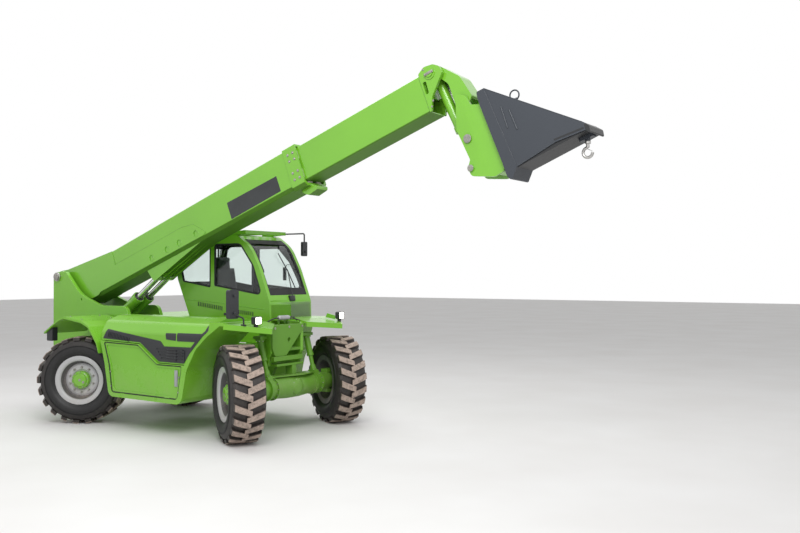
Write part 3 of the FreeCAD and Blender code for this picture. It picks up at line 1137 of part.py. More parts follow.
def lift_points():
    return vec(LIFT_BASE_X, BOOM_Y, LIFT_BASE_Z), boom_point(LIFT_U, LIFT_V)


def lift_barrels():
    base, tip = lift_points()
    pieces = []
    for side in (-1.0, 1.0):
        middle = BOOM_Y + side * LIFT_HALF
        barrel, eye, way, start, end = cylinder_between(base, tip, LIFT_BARREL_LEN, LIFT_BARREL_R, 110.0,
                                                        LIFT_PIN_R, 78.0, middle)
        hollow = bar(start + way * 220.0, end + way * 5.0, LIFT_ROD_R + PIN_GAP)
        pieces.append(joined([barrel, eye]).cut(hollow))
    tie = cross_bar(base.x, base.z, BOOM_Y - LIFT_HALF, BOOM_Y + LIFT_HALF, 50.0)
    whole = joined(pieces + [tie])
    return whole.cut(cross_bar(base.x, base.z, BOOM_Y - RAIL_OUT, BOOM_Y + RAIL_OUT, LIFT_PIN_R + PIN_GAP))


def lift_base_pin():
    y0, y1 = BOOM_Y - RAIL_OUT, BOOM_Y + RAIL_OUT
    return joined([cross_bar(LIFT_BASE_X, LIFT_BASE_Z, y0 - 10.0, y1 + 10.0, LIFT_PIN_R),
                   cross_bar(LIFT_BASE_X, LIFT_BASE_Z, y0 - 22.0, y0 - SEAT_GAP, LIFT_PIN_R + 14.0),
                   cross_bar(LIFT_BASE_X, LIFT_BASE_Z, y1 + SEAT_GAP, y1 + 22.0, LIFT_PIN_R + 14.0)])


def lift_rods():
    base, tip = lift_points()
    way = Vector(tip.x - base.x, 0, tip.z - base.z).normalize()
    pieces = []
    for side in (-1.0, 1.0):
        middle = BOOM_Y + side * LIFT_HALF
        end = Vector(tip.x, middle, tip.z)
        start = Vector(base.x, middle, base.z) + way * LIFT_ROD_START
        shaft = bar(start, end + way * 8.0, LIFT_ROD_R)
        eye = cross_bar(tip.x, tip.z, middle - LIFT_EYE_W / 2.0, middle + LIFT_EYE_W / 2.0, LIFT_EYE_R)
        eye.rotate(end, vec(0, 1, 0), 37.0)
        pieces.append(joined([shaft, eye]))
    return loose(pieces)


def tilt_points():
    return vec(TILT_TOP[0], 0, TILT_TOP[1]), vec(TILT_LOW[0], 0, TILT_LOW[1])


def tilt_barrel():
    base, tip = tilt_points()
    barrel, eye, way, start, end = cylinder_between(base, tip, TILT_BARREL_LEN, TILT_BARREL_R, 2 * NECK_IN - 12.0,
                                                    TILT_PIN_R, 50.0, 0.0)
    hollow = bar(start + way * 120.0, end + way * 5.0, TILT_ROD_R + PIN_GAP)
    whole = joined([barrel, eye]).cut(hollow)
    return on_boom(whole.cut(cross_bar(base.x, base.z, -200.0, 200.0, TILT_PIN_R + PIN_GAP)))


def tilt_rod():
    base, tip = tilt_points()
    way = Vector(tip.x - base.x, 0, tip.z - base.z).normalize()
    shaft = bar(base + way * (TILT_BARREL_LEN - 130.0), tip, TILT_ROD_R)
    eye = cross_bar(tip.x, tip.z, -TILT_EYE_W / 2.0, TILT_EYE_W / 2.0, 48.0)
    return on_boom(joined([shaft, eye]))


def coupler():
    """The quick coupler: two cheek plates on the neck's pivot pin, a front frame and hook-on top bar."""
    pu, pv = COUPLER_PIVOT
    ru, rv = TILT_LOW
    cheek = [(7531.0, -482.0, 30.0), (7640.0, -560.0, 40.0), (7668.0, -690.0), (7790.0, -742.0, 20.0),
             (7822.0, -1500.0), (7780.0, -1590.0, 40.0), (7660.0, -1612.0, 60.0), (7390.0, -1490.0, 60.0),
             (ru - 40.0, rv + 20.0, 40.0), (7440.0, -1300.0, 40.0), (7396.0, -900.0, 60.0)]
    # each cheek is bent inwards towards its front edge
    fold, draw = 7590.0, CHEEK_DRAW
    plan = [(7300.0, CHEEK_IN), (fold, CHEEK_IN), (7830.0, CHEEK_IN - draw), (7830.0, CHEEK_OUT - draw),
            (fold + 8.0, CHEEK_OUT), (7300.0, CHEEK_OUT)]
    plate = prism(cheek, "y", 60.0, CHEEK_OUT + 5.0).common(prism(plan, "z", -1800.0, -300.0))
    pieces = [plate, plate.mirror(vec(0, 0, 0), vec(0, 1, 0))]
    # cross members: back plate and lower bar
    wide = CHEEK_OUT - draw - 6.0
    back = [(7700.0, -760.0), (7790.5, -760.0), (7821.9, -1500.0), (7730.0, -1500.0)]
    pieces.append(prism(back, "y", -wide, wide))
    pieces.append(prism([(7680.0, -1480.0), (7821.0, -1480.0), (7780.0, -1588.0, 40.0), (7670.0, -1598.0, 30.0)],
                        "y", -wide, wide))
    stub_in = TILT_EYE_W / 2.0 + 5.0
    for side in (-1.0, 1.0):
        y0, y1 = sorted((side * stub_in, side * (CHEEK_OUT + 16.0)))
        pieces.append(cross_bar(ru, rv, y0, y1, 30.0))
        y0, y1 = sorted((side * (CHEEK_OUT - 1.0), side * (CHEEK_OUT + 16.0)))
        pieces.append(cross_bar(ru, rv, y0, y1, 44.0))
    pieces.append(cross_bar(pu, pv, -CHEEK_OUT - 10.0, CHEEK_OUT + 10.0, COUPLER_PIN_R))
    return on_boom(joined(pieces))


def jib():
    """The hook jib: a ribbed back frame and a tapering box with a lifting ring on its top edge."""
    back = [(7796.0, -640.0, 16.0), (7806.0, -604.0, 16.0), (7910.0, -604.0), (7974.0, -1630.0, 20.0),
            (7860.0, -1750.0, 20.0), (7824.0, -1690.0), (7822.3, -1500.0), (7790.3, -742.0)]
    frame = prism(back, "y", -JIB_HALF, JIB_HALF)
    recess = prism([(7850.0, -680.0), (7990.0, -680.0), (7990.0, -1540.0), (7850.0, -1540.0)], "y",
                   -JIB_HALF + 40.0, JIB_HALF - 40.0)
    side = [(7905.0, -604.0), (8868.0, -1500.0, 40.0), (8915.0, -1560.0, 30.0), (8900.0, -1650.0, 20.0),
            (8862.0, -1594.0, 20.0), (8502.0, -1570.0), (7968.0, -1634.0)]
    block = prism(side, "y", -JIB_HALF + 4.0, JIB_HALF - 4.0)
    inner = [(7900.0, -640.0), (8800.0, -1478.0, 30.0), (8790.0, -1552.0, 10.0), (8480.0, -1540.0), (7900.0, -1610.0)]
    hollow = prism(inner, "y", -JIB_HALF + 4.0 + JIB_PLATE, JIB_HALF - 4.0 - JIB_PLATE)
    whole = joined([frame.cut(recess), block.cut(hollow)])
    ring = Part.makeTorus(RING_R, RING_WIRE_R)
    ring.Placement = Placement(vec(8150.0, 0, -834.0 + RING_R), Rotation(vec(0, 0, 1), vec(0, 1, 0)))
    neck = [(8868.0, -1560.0), (8868.0, -1640.0), (8700.0, -1640.0), (8700.0, -1560.0)]
    block_under = prism(neck, "y", -50.0, 50.0)
    whole = joined([whole, ring, block_under])
    top = hook_place()
    return joined([on_boom(whole), bar(top + vec(0, 0, 70.0), top, 30.0)])


def hook_place():
    return boom_point(8784.0, -1640.0) - vec(0, 0, 22.0)


def jib_hook():
    """A forged hook on its shank, hanging plumb under the jib's tip."""
    top = hook_place()
    r = HOOK_THROAT_R + HOOK_WIRE_R
    shank_low = top - vec(0, 0, 70.0 + SEAT_GAP)
    shank = bar(top - vec(0, 0, 24.0 + SEAT_GAP), shank_low, HOOK_WIRE_R + 3.0)
    collar = bar(top - vec(0, 0, SEAT_GAP + 26.0), top - vec(0, 0, SEAT_GAP), 34.0)
    # the hook's curve runs in the xz plane: down from the shank, round the throat and up to the tip
    path = []
    centre = shank_low - vec(0, 0, r)
    arc = Part.Arc(centre + vec(0, 0, r), centre + vec(-r, 0, 0), centre + vec(0, 0, -r)).toShape()
    rise = Part.Arc(centre + vec(0, 0, -r), centre + vec(r * math.sin(math.radians(45)), 0, -r * math.cos(math.radians(45))),
                    centre + vec(r, 0, 0)).toShape()
    path = Part.Wire([arc, rise])
    section = Part.Wire(Part.makeCircle(HOOK_WIRE_R, centre + vec(0, 0, r), vec(-1, 0, 0)))
    curve = path.makePipeShell([section], True, True)
    return joined([collar, shank, curve])


def all_nodes():
    nodes = {}
    nodes["chassis_frame"] = chassis_frame()
    nodes["chassis_crossmembers"] = chassis_crossmembers()
    nodes["rear_ballast"] = rear_ballast()
    nodes["front_axle"] = axle(WHEELBASE / 2.0)
    nodes["rear_axle"] = axle(-WHEELBASE / 2.0)
    nodes["axle_struts"] = struts()
    nodes["side_body"] = side_body()
    nodes["engine_block"] = engine_block()
    nodes["service_door"] = service_door()
    nodes["engine_hood"] = hood()
    nodes["hood_grille"] = hood_grille()
    nodes["fenders"] = loose(front_fenders().Solids + rear_fenders().Solids)
    nodes["lamps"] = loose(headlamps().Solids + tail_lamps().Solids)
    nodes["mirrors"] = mirrors()
    nodes["cab_frame"] = cab_frame()
    nodes["cab_glass"] = cab_glass()
    nodes["roof_guard"] = roof_guard()
    nodes["cab_door"] = cab_door()[0]
    nodes["cab_door_glass"] = cab_door_glass()
    nodes["seat_base"] = seat_base()
    nodes["seat_pads"] = loose([seat_cushion(), seat_back()])
    nodes["steering_console"] = steering_console()
    nodes["left_tank"] = joined([left_tank()] + cab_steps().Solids)
    nodes["chassis_pins"] = loose([pivot_pin(), lift_base_pin()])
    nodes["boom_outer"] = boom_outer()
    nodes["boom_pads"] = boom_pads()
    nodes["boom_inner"] = joined([boom_inner(), boom_head()])
    nodes["lift_barrels"] = lift_barrels()
    nodes["lift_rods"] = lift_rods()
    nodes["tilt_barrel"] = tilt_barrel()
    nodes["tilt_rod"] = tilt_rod()
    nodes["coupler"] = coupler()
    nodes["jib"] = jib()
    nodes["jib_hook"] = jib_hook()
    knuckle_shape, rim_shape, tyre_shape = knuckle(), rim(), tyre()
    for corner in STEER_REST:
        nodes["knuckle_" + corner] = at_corner(knuckle_shape, corner)
        nodes["rim_" + corner] = at_corner(rim_shape, corner, KINGPIN_OFFSET)
        nodes["tyre_" + corner] = at_corner(tyre_shape, corner, KINGPIN_OFFSET)
    return nodes


def footprint_shift(nodes):
    """The move that brings the middle of the whole box to x = y = 0 and its lowest point to z = 0."""
    whole = FreeCAD.BoundBox()
    for shape in nodes.values():
        whole.add(shape.optimalBoundingBox(False))
    return vec(-whole.Center.x, -whole.Center.y, -whole.ZMin)


NODES = all_nodes()
SHIFT = footprint_shift(NODES)

os.makedirs("parts", exist_ok=True)
for name, shape in NODES.items():
    shape.translate(SHIFT)
    shape.exportStep("parts/" + name + ".step")
    print(name, "solids", len(shape.Solids), "volume", round(shape.Volume / 1e9, 5), "valid", shape.isValid())
print("shift", SHIFT)
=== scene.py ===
import json
import math
import bmesh
import bpy
from mathutils import Matrix, Vector


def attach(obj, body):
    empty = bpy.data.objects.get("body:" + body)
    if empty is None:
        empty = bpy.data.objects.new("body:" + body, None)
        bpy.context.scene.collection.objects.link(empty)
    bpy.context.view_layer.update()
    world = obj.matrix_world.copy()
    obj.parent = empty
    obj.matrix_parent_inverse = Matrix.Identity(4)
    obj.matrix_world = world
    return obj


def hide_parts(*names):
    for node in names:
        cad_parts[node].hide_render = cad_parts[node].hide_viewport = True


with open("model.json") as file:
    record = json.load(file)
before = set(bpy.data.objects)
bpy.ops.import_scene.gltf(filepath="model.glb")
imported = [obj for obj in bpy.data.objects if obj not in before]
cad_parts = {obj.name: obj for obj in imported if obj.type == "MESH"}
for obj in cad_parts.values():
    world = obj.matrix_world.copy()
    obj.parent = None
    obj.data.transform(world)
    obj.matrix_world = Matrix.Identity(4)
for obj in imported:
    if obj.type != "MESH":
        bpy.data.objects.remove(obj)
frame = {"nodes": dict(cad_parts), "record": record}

bl_info = {
    "name": "Telehandler",
    "version": (1, 0, 0),
    "blender": (4, 5, 0),
    "location": "3D View > Sidebar > Telehandler",
    "description": "Dresses a telehandler's frame with its finishes, wheels, cab, lamps and fittings",
    "category": "Object",
}

RECORD = frame["record"]
NODE_BODY = {n: b for b, names in RECORD["behaviour"]["bodies"].items() for n in names}
JOINTS = {j["name"]: j for j in RECORD["behaviour"]["joints"]}
MOUNTS = {m["name"]: m for m in RECORD["mounts"]}
CORNERS = ("front_right", "front_left", "rear_right", "rear_left")
SIDES = (-1.0, 1.0)
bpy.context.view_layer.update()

# The machine's own frame: the ground point midway between the axles. The tow jaw's pin ties it to the row.
TOW_PIN = Vector((-3.120, -0.080, 0.700))
SHIFT = Vector(MOUNTS["tow_jaw_lower"]["pos_m"]) - TOW_PIN
BOOM_Y = -0.080
BOOM_ANGLE = math.radians(20.5)
PIVOT = Vector((-2.942, BOOM_Y, 2.113)) + SHIFT
BOOM = Matrix.Translation(PIVOT) @ Matrix.Rotation(-BOOM_ANGLE, 4, "Y")
MACHINE = Matrix.Translation(SHIFT)


class TelehandlerColours(bpy.types.PropertyGroup):
    body: bpy.props.FloatVectorProperty(
        name="Body paint", description="The gloss paint on the body, cab and boom",
        default=(0.185, 0.485, 0.030), subtype="COLOR", min=0.0, max=1.0)
    jib: bpy.props.FloatVectorProperty(
        name="Jib paint", description="The grey paint on the hook jib",
        default=(0.045, 0.052, 0.064), subtype="COLOR", min=0.0, max=1.0)
    trim: bpy.props.FloatVectorProperty(
        name="Trim", description="The charcoal plastic of grilles, mirrors and seals",
        default=(0.020, 0.022, 0.025), subtype="COLOR", min=0.0, max=1.0)
    rim: bpy.props.FloatVectorProperty(
        name="Rim paint", description="The silver paint on the wheel rims",
        default=(0.50, 0.50, 0.51), subtype="COLOR", min=0.0, max=1.0)
    rubber: bpy.props.FloatVectorProperty(
        name="Tyre rubber", description="The tyres' clean black rubber",
        default=(0.0085, 0.008, 0.0085), subtype="COLOR", min=0.0, max=1.0)
    dust: bpy.props.FloatVectorProperty(
        name="Dust", description="The dry dust on treads and ledges",
        default=(0.46, 0.36, 0.30), subtype="COLOR", min=0.0, max=1.0)
    seat: bpy.props.FloatVectorProperty(
        name="Seat cloth", description="The woven cloth on the seat's pads",
        default=(0.030, 0.032, 0.036), subtype="COLOR", min=0.0, max=1.0)


class TelehandlerSizes(bpy.types.PropertyGroup):
    tyre_radius: bpy.props.FloatProperty(
        name="Tyre radius", description="From the axle to the tops of the lugs",
        default=0.6265, unit="LENGTH", min=0.5, max=0.7)
    tyre_width: bpy.props.FloatProperty(
        name="Tyre width", description="Across the widest part of the sidewalls",
        default=0.472, unit="LENGTH", min=0.3, max=0.5)
    lug_height: bpy.props.FloatProperty(
        name="Lug height", description="How far the lugs stand out of the carcass",
        default=0.043, unit="LENGTH", min=0.02, max=0.06)
    lugs: bpy.props.IntProperty(
        name="Lugs a side", description="How many lugs each side of the tread has",
        default=21, min=12, max=30)
    edge: bpy.props.FloatProperty(
        name="Edge rounding", description="The rounding on pressed and welded plate edges",
        default=0.004, unit="LENGTH", min=0.0, max=0.02)


# Node groups and materials

def shader_node(tree, kind, **values):
    made = tree.nodes.new(kind)
    for key, value in values.items():
        setattr(made, key, value)
    return made


def wire(tree, start, end):
    tree.links.new(start, end)


def preset(made, values):
    """Sets the inputs of a shader node that nothing feeds."""
    for label, value in values.items():
        made.inputs[label].default_value = value


def object_coords(tree):
    return shader_node(tree, "ShaderNodeTexCoord").outputs["Object"]


def new_group(name, inputs, outputs):
    tree = bpy.data.node_groups.new(name, "ShaderNodeTree")
    for label, default in inputs:
        socket = tree.interface.new_socket(label, in_out="INPUT", socket_type="NodeSocketFloat")
        socket.default_value = default
    for label in outputs:
        tree.interface.new_socket(label, in_out="OUTPUT", socket_type="NodeSocketFloat")
    return tree, tree.nodes.new("NodeGroupInput"), tree.nodes.new("NodeGroupOutput")


def noise_of(tree, coords, scale, detail, rough=0.5):
    made = shader_node(tree, "ShaderNodeTexNoise")
    preset(made, {"Scale": scale, "Detail": detail, "Roughness": rough})
    wire(tree, coords, made.inputs["Vector"])
    return made


def maths(tree, operation, first, second, third=None, clamp=False):
    made = shader_node(tree, "ShaderNodeMath", operation=operation, use_clamp=clamp)
    for slot, value in enumerate((first, second, third)):
        if value is None:
            continue
        if isinstance(value, (int, float)):
            made.inputs[slot].default_value = value
        else:
            wire(tree, value, made.inputs[slot])
    return made.outputs[0]


def ramp(tree, value, low, high):
    """A value brought from low..high to 0..1 and held there."""
    made = shader_node(tree, "ShaderNodeMapRange")
    preset(made, {"From Min": low, "From Max": high})
    wire(tree, value, made.inputs["Value"])
    return made.outputs[0]


def weathering_group():
    """Dust that settles on faces that look up and low down, slow tone changes, and fine orange peel."""
    tree, inside, outside = new_group(
        "Paint weathering", [("Dust", 0.4), ("Peel", 0.25)], ["Dust", "Tone", "Height"])
    coords = object_coords(tree)
    normal = shader_node(tree, "ShaderNodeNewGeometry").outputs["Normal"]
    split = shader_node(tree, "ShaderNodeSeparateXYZ")
    wire(tree, normal, split.inputs[0])
    place = shader_node(tree, "ShaderNodeSeparateXYZ")
    wire(tree, coords, place.inputs[0])
    patches = noise_of(tree, coords, 3.2, 8.0, 0.62).outputs["Fac"]
    specks = noise_of(tree, coords, 46.0, 4.0, 0.7).outputs["Fac"]
    up = ramp(tree, split.outputs["Z"], 0.55, 1.0)
    low = ramp(tree, place.outputs["Z"], 0.95, 0.35)
    where = maths(tree, "MAXIMUM", maths(tree, "MULTIPLY", up, 0.55), maths(tree, "MULTIPLY", low, 0.8))
    cover = maths(tree, "MULTIPLY", where, ramp(tree, patches, 0.38, 0.72))
    cover = maths(tree, "MULTIPLY", cover, ramp(tree, specks, 0.30, 0.62))
    wire(tree, maths(tree, "MULTIPLY", cover, inside.outputs["Dust"], clamp=True), outside.inputs["Dust"])
    slow = noise_of(tree, coords, 0.9, 3.0, 0.5).outputs["Fac"]
    wire(tree, ramp(tree, slow, 0.30, 0.70), outside.inputs["Tone"])
    peel = noise_of(tree, coords, 190.0, 2.0, 0.5).outputs["Fac"]
    swell = noise_of(tree, coords, 7.0, 2.0, 0.5).outputs["Fac"]
    height = maths(tree, "MULTIPLY_ADD", swell, 1.6, maths(tree, "MULTIPLY", peel, inside.outputs["Peel"]))
    wire(tree, height, outside.inputs["Height"])
    return tree


def grain_group():
    """The fine leathery grain of moulded plastic and rubber, with pale scuffs."""
    tree, inside, outside = new_group(
        "Moulded grain", [("Scale", 420.0), ("Scuffs", 0.5)], ["Height", "Scuff", "Tone"])
    coords = object_coords(tree)
    cells = shader_node(tree, "ShaderNodeTexVoronoi")
    wire(tree, inside.outputs["Scale"], cells.inputs["Scale"])
    wire(tree, coords, cells.inputs["Vector"])
    wire(tree, cells.outputs["Distance"], outside.inputs["Height"])
    streaks = noise_of(tree, coords, 18.0, 8.0, 0.75).outputs["Fac"]
    scuff = maths(tree, "MULTIPLY", ramp(tree, streaks, 0.56, 0.74), inside.outputs["Scuffs"], clamp=True)
    wire(tree, scuff, outside.inputs["Scuff"])
    slow = noise_of(tree, coords, 2.2, 3.0, 0.5).outputs["Fac"]
    wire(tree, ramp(tree, slow, 0.3, 0.7), outside.inputs["Tone"])
    return tree


def brushed_group():
    """Fine lines along x and a cloudy tone, for turned, rolled and plated metal."""
    tree, inside, outside = new_group("Metal grain", [("Scale", 60.0)], ["Height", "Tone"])
    coords = object_coords(tree)
    stretch = shader_node(tree, "ShaderNodeMapping")
    preset(stretch, {"Scale": (0.15, 1.0, 1.0)})
    wire(tree, coords, stretch.inputs["Vector"])
    lines = noise_of(tree, stretch.outputs[0], 60.0, 6.0, 0.7)
    wire(tree, inside.outputs["Scale"], lines.inputs["Scale"])
    wire(tree, lines.outputs["Fac"], outside.inputs["Height"])
    cloud = noise_of(tree, coords, 9.0, 5.0, 0.6).outputs["Fac"]
    wire(tree, ramp(tree, cloud, 0.32, 0.68), outside.inputs["Tone"])
    return tree


def new_material(name):
    made = bpy.data.materials.new(name)
    made.use_nodes = True
    tree = made.node_tree
    shader = tree.nodes["Principled BSDF"]
    return made, tree, shader


def mixed(tree, factor, first, second):
    """Two colours mixed by a mask. Either may be a plain colour or a socket."""
    made = shader_node(tree, "ShaderNodeMix", data_type="RGBA")
    wire(tree, factor, made.inputs["Factor"])
    for socket, value in ((made.inputs[6], first), (made.inputs[7], second)):
        if isinstance(value, tuple):
            socket.default_value = (value[0], value[1], value[2], 1.0)
        else:
            wire(tree, value, socket)
    return made.outputs[2]


def shade(colour, by):
    return tuple(min(1.0, c * by) for c in colour)


def bump(tree, shader, height, strength, distance):
    made = shader_node(tree, "ShaderNodeBump")
    preset(made, {"Strength": strength, "Distance": distance})
    wire(tree, height, made.inputs["Height"])
    wire(tree, made.outputs["Normal"], shader.inputs["Normal"])


def use_group(tree, group, **values):
    made = shader_node(tree, "ShaderNodeGroup", node_tree=group)
    preset(made, values)
    return made


def roughened(tree, shader, mask, by, rough):
    """A roughness that grows from its own value where the mask is strong."""
    wire(tree, maths(tree, "MULTIPLY_ADD", mask, by, rough, clamp=True), shader.inputs["Roughness"])


def fluted(tree, shader, scale, dark, pale):
    """The upright flutes of a lamp's lens, in its surface, and in its colour as darker bands, a painted shade.
    """
    flutes = shader_node(tree, "ShaderNodeTexWave", bands_direction="Y")
    preset(flutes, {"Scale": scale})
    wire(tree, object_coords(tree), flutes.inputs["Vector"])
    # each flute's colour darkens across it, a painted shade
    wire(tree, mixed(tree, flutes.outputs["Fac"], dark, pale), shader.inputs["Base Color"])
    bump(tree, shader, flutes.outputs["Fac"], 0.4, 0.001)


def gloss_paint(name, group, colour, dust_colour, dust=0.5, rough=0.24, coat=0.6, peel=0.25):
    made, tree, shader = new_material(name)
    wear = use_group(tree, group, Dust=dust, Peel=peel)
    base = mixed(tree, wear.outputs["Tone"], shade(colour, 0.93), shade(colour, 1.06))
    wire(tree, mixed(tree, wear.outputs["Dust"], base, dust_colour), shader.inputs["Base Color"])
    roughened(tree, shader, wear.outputs["Dust"], 0.5, rough)
    preset(shader, {"Coat Weight": coat, "Coat Roughness": 0.16, "Specular IOR Level": 0.42})
    bump(tree, shader, wear.outputs["Height"], 0.12, 0.0016)
    return made


def moulded(name, group, colour, rough=0.55, scale=420.0, scuffs=0.35, depth=0.25):
    made, tree, shader = new_material(name)
    grain = use_group(tree, group, Scale=scale, Scuffs=scuffs)
    base = mixed(tree, grain.outputs["Tone"], shade(colour, 0.8), shade(colour, 1.25))
    pale = tuple(min(1.0, c + 0.06) for c in colour)
    wire(tree, mixed(tree, grain.outputs["Scuff"], base, pale), shader.inputs["Base Color"])
    roughened(tree, shader, grain.outputs["Scuff"], 0.2, rough)
    bump(tree, shader, grain.outputs["Height"], depth, 0.0008)
    return made


def metal(name, group, colour, rough, scale=60.0, metallic=1.0, depth=0.1):
    made, tree, shader = new_material(name)
    grain = use_group(tree, group, Scale=scale)
    base = mixed(tree, grain.outputs["Tone"], shade(colour, 0.82), shade(colour, 1.1))
    wire(tree, base, shader.inputs["Base Color"])
    roughened(tree, shader, grain.outputs["Tone"], 0.14, rough)
    preset(shader, {"Metallic": metallic})
    bump(tree, shader, grain.outputs["Height"], depth, 0.0006)
    return made


def tyre_rubber(colour, dust_colour):
    """Black rubber with dust on the lugs' tops, where the dust attribute is 1, and a trace elsewhere."""
    made, tree, shader = new_material("Tyre rubber")
    worn = shader_node(tree, "ShaderNodeAttribute", attribute_name="dust")
    coords = object_coords(tree)
    patch = noise_of(tree, coords, 22.0, 8.0, 0.7).outputs["Fac"]
    speck = noise_of(tree, coords, 160.0, 4.0, 0.7).outputs["Fac"]
    cover = maths(tree, "MULTIPLY", worn.outputs["Fac"], ramp(tree, patch, 0.18, 0.55))
    cover = maths(tree, "MULTIPLY", cover, ramp(tree, speck, 0.15, 0.5), clamp=True)
    base = mixed(tree, ramp(tree, patch, 0.35, 0.7), shade(colour, 0.8), shade(colour, 1.6))
    wire(tree, mixed(tree, cover, base, dust_colour), shader.inputs["Base Color"])
    roughened(tree, shader, cover, 0.35, 0.5)
    bump(tree, shader, maths(tree, "MULTIPLY_ADD", patch, 2.0, speck), 0.35, 0.0012)
    return made


def window_glass():
    made, tree, shader = new_material("Window glass")
    film = noise_of(tree, object_coords(tree), 6.0, 6.0, 0.65).outputs["Fac"]
    smear = maths(tree, "MULTIPLY", ramp(tree, film, 0.35, 0.8), 0.08)
    wire(tree, smear, shader.inputs["Roughness"])
    preset(shader, {"Base Color": (0.82, 0.88, 0.86, 1.0), "Transmission Weight": 1.0, "IOR": 1.35})
    return made


def lens_glass(name, colour):
    made, tree, shader = new_material(name)
    fluted(tree, shader, 55.0, shade(colour, 0.8), colour)
    preset(shader, {"Roughness": 0.08, "Coat Weight": 1.0, "Transmission Weight": 0.25})
    return made


def glowing_lens():
    """The lit headlamp: a fluted white lens that glows."""
    made, tree, shader = new_material("Lit lens")
    fluted(tree, shader, 42.0, (0.75, 0.76, 0.74), (0.95, 0.95, 0.90))
    preset(shader, {"Roughness": 0.12, "Coat Weight": 1.0, "Emission Color": (1.0, 0.97, 0.88, 1.0),
                    "Emission Strength": 4.0})
    return made


def seat_cloth(colour):
    made, tree, shader = new_material("Seat cloth")
    coords = object_coords(tree)
    waves = []
    for axis in ("X", "Y"):
        threads = shader_node(tree, "ShaderNodeTexWave", bands_direction=axis)
        preset(threads, {"Scale": 190.0, "Distortion": 1.2})
        wire(tree, coords, threads.inputs["Vector"])
        waves.append(threads.outputs["Fac"])
    weave = maths(tree, "MULTIPLY", waves[0], waves[1])
    fuzz = noise_of(tree, coords, 60.0, 6.0, 0.7).outputs["Fac"]
    wire(tree, mixed(tree, maths(tree, "MULTIPLY", weave, fuzz), shade(colour, 0.7), shade(colour, 2.4)),
         shader.inputs["Base Color"])
    preset(shader, {"Roughness": 0.85, "Sheen Weight": 0.3})
    bump(tree, shader, weave, 0.5, 0.0008)
    return made


MATERIALS = {}


def make_materials(colours):
    weathering, grain, brushed = weathering_group(), grain_group(), brushed_group()
    dust = tuple(colours.dust)
    body = tuple(colours.body)
    MATERIALS.update({
        "body": gloss_paint("Body paint", weathering, body, dust, 0.35, 0.27, 0.4),
        "boom": gloss_paint("Boom paint", weathering, body, dust, 0.2, 0.22, 0.7),
        # the boom's faces that look down: the body paint darkened to 0.42, a painted shade
        "shade": gloss_paint("Boom underside painted shade", weathering, shade(body, 0.42), dust, 0.0, 0.6, 0.0, 0.4),
        # the body paint darkened to 0.62 for the parts under the body, a painted shade, with more dust
        "under": gloss_paint("Underframe paint with painted shade", weathering, shade(body, 0.62), dust, 0.7, 0.42, 0.15, 0.6),
        "jib": gloss_paint("Jib paint", weathering, tuple(colours.jib), dust, 0.4, 0.4, 0.15, 0.5),
        "rim": gloss_paint("Rim paint", weathering, tuple(colours.rim), dust, 0.7, 0.35, 0.3, 0.3),
        "well": gloss_paint("Wheel well paint", weathering, (0.10, 0.10, 0.105), dust, 0.9, 0.5, 0.0, 0.4),
        # near-black paint for treads, glands and caps, also used as painted shade between the coupler's cheeks
        # and under the jib
        "dark": gloss_paint(
            "Dark chassis paint and painted shade", weathering, (0.022, 0.023, 0.025), dust, 0.7, 0.45, 0.1, 0.5),
        "trim": moulded("Charcoal trim", grain, tuple(colours.trim), 0.42, 480.0, 0.25),
        "gloss_trim": moulded("Gloss trim", grain, (0.03, 0.033, 0.036), 0.2, 300.0, 0.1, 0.05),
        "silver_trim": metal("Silver trim", brushed, (0.42, 0.43, 0.44), 0.32, 80.0, 0.7),
        "rubber": moulded("Seal rubber", grain, (0.012, 0.012, 0.013), 0.6, 700.0, 0.2, 0.15),
        "inside": moulded("Cab lining", grain, (0.06, 0.062, 0.066), 0.7, 260.0, 0.15, 0.4),
        "steel": metal("Bright steel", brushed, (0.56, 0.55, 0.53), 0.28),
        "bolt": metal("Plated bolts", brushed, (0.40, 0.39, 0.36), 0.36, 200.0),
        "chrome": metal("Chromed rod", brushed, (0.80, 0.80, 0.81), 0.06, 120.0, 1.0, 0.02),
        "cast": metal("Cast iron", brushed, (0.09, 0.09, 0.095), 0.6, 30.0, 0.4, 0.6),
        "pad": moulded("Wear pad", grain, (0.55, 0.52, 0.44), 0.5, 240.0, 0.5, 0.2),
        "mirror": metal("Mirror glass", brushed, (0.85, 0.87, 0.88), 0.02, 4.0, 1.0, 0.0),
        "reflector": metal("Lamp reflector", brushed, (0.9, 0.9, 0.9), 0.08, 20.0, 1.0, 0.05),
        "lens": glowing_lens(),
        "red_lens": lens_glass("Red lens", (0.42, 0.012, 0.01)),
        "amber_lens": lens_glass("Amber lens", (0.75, 0.22, 0.01)),
        "glass": window_glass(),
        "tyre": tyre_rubber(tuple(colours.rubber), dust),
        "cloth": seat_cloth(tuple(colours.seat)),
    })


# Making pieces

def finish_piece(name, bm, finishes, body, smooth=32.0, place=None):
    """Turns the shape into an object that rides on a body. finishes are names in MATERIALS."""
    if place is not None:
        bmesh.ops.transform(bm, matrix=place, verts=bm.verts)
        if place.to_3x3().determinant() < 0:
            bmesh.ops.reverse_faces(bm, faces=bm.faces)
    sharp = math.radians(smooth)
    for edge in bm.edges:
        edge.smooth = edge.calc_face_angle(0.0) < sharp
    for face in bm.faces:
        face.smooth = True
    mesh = bpy.data.meshes.new(name)
    bm.to_mesh(mesh)
    bm.free()
    made = bpy.data.objects.new(name, mesh)
    bpy.context.scene.collection.objects.link(made)
    for finish in [finishes] if isinstance(finishes, str) else finishes:
        mesh.materials.append(MATERIALS[finish])
    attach(made, body)
    return made


def add_bevel(made, width, angle=30.0):
    mod = made.modifiers.new("Edges", "BEVEL")
    mod.width = width
    mod.segments = 2
    mod.limit_method = "ANGLE"
    mod.angle_limit = math.radians(angle)
    mod.use_clamp_overlap = True
    level = made.modifiers.new("Even normals", "WEIGHTED_NORMAL")
    level.keep_sharp = True


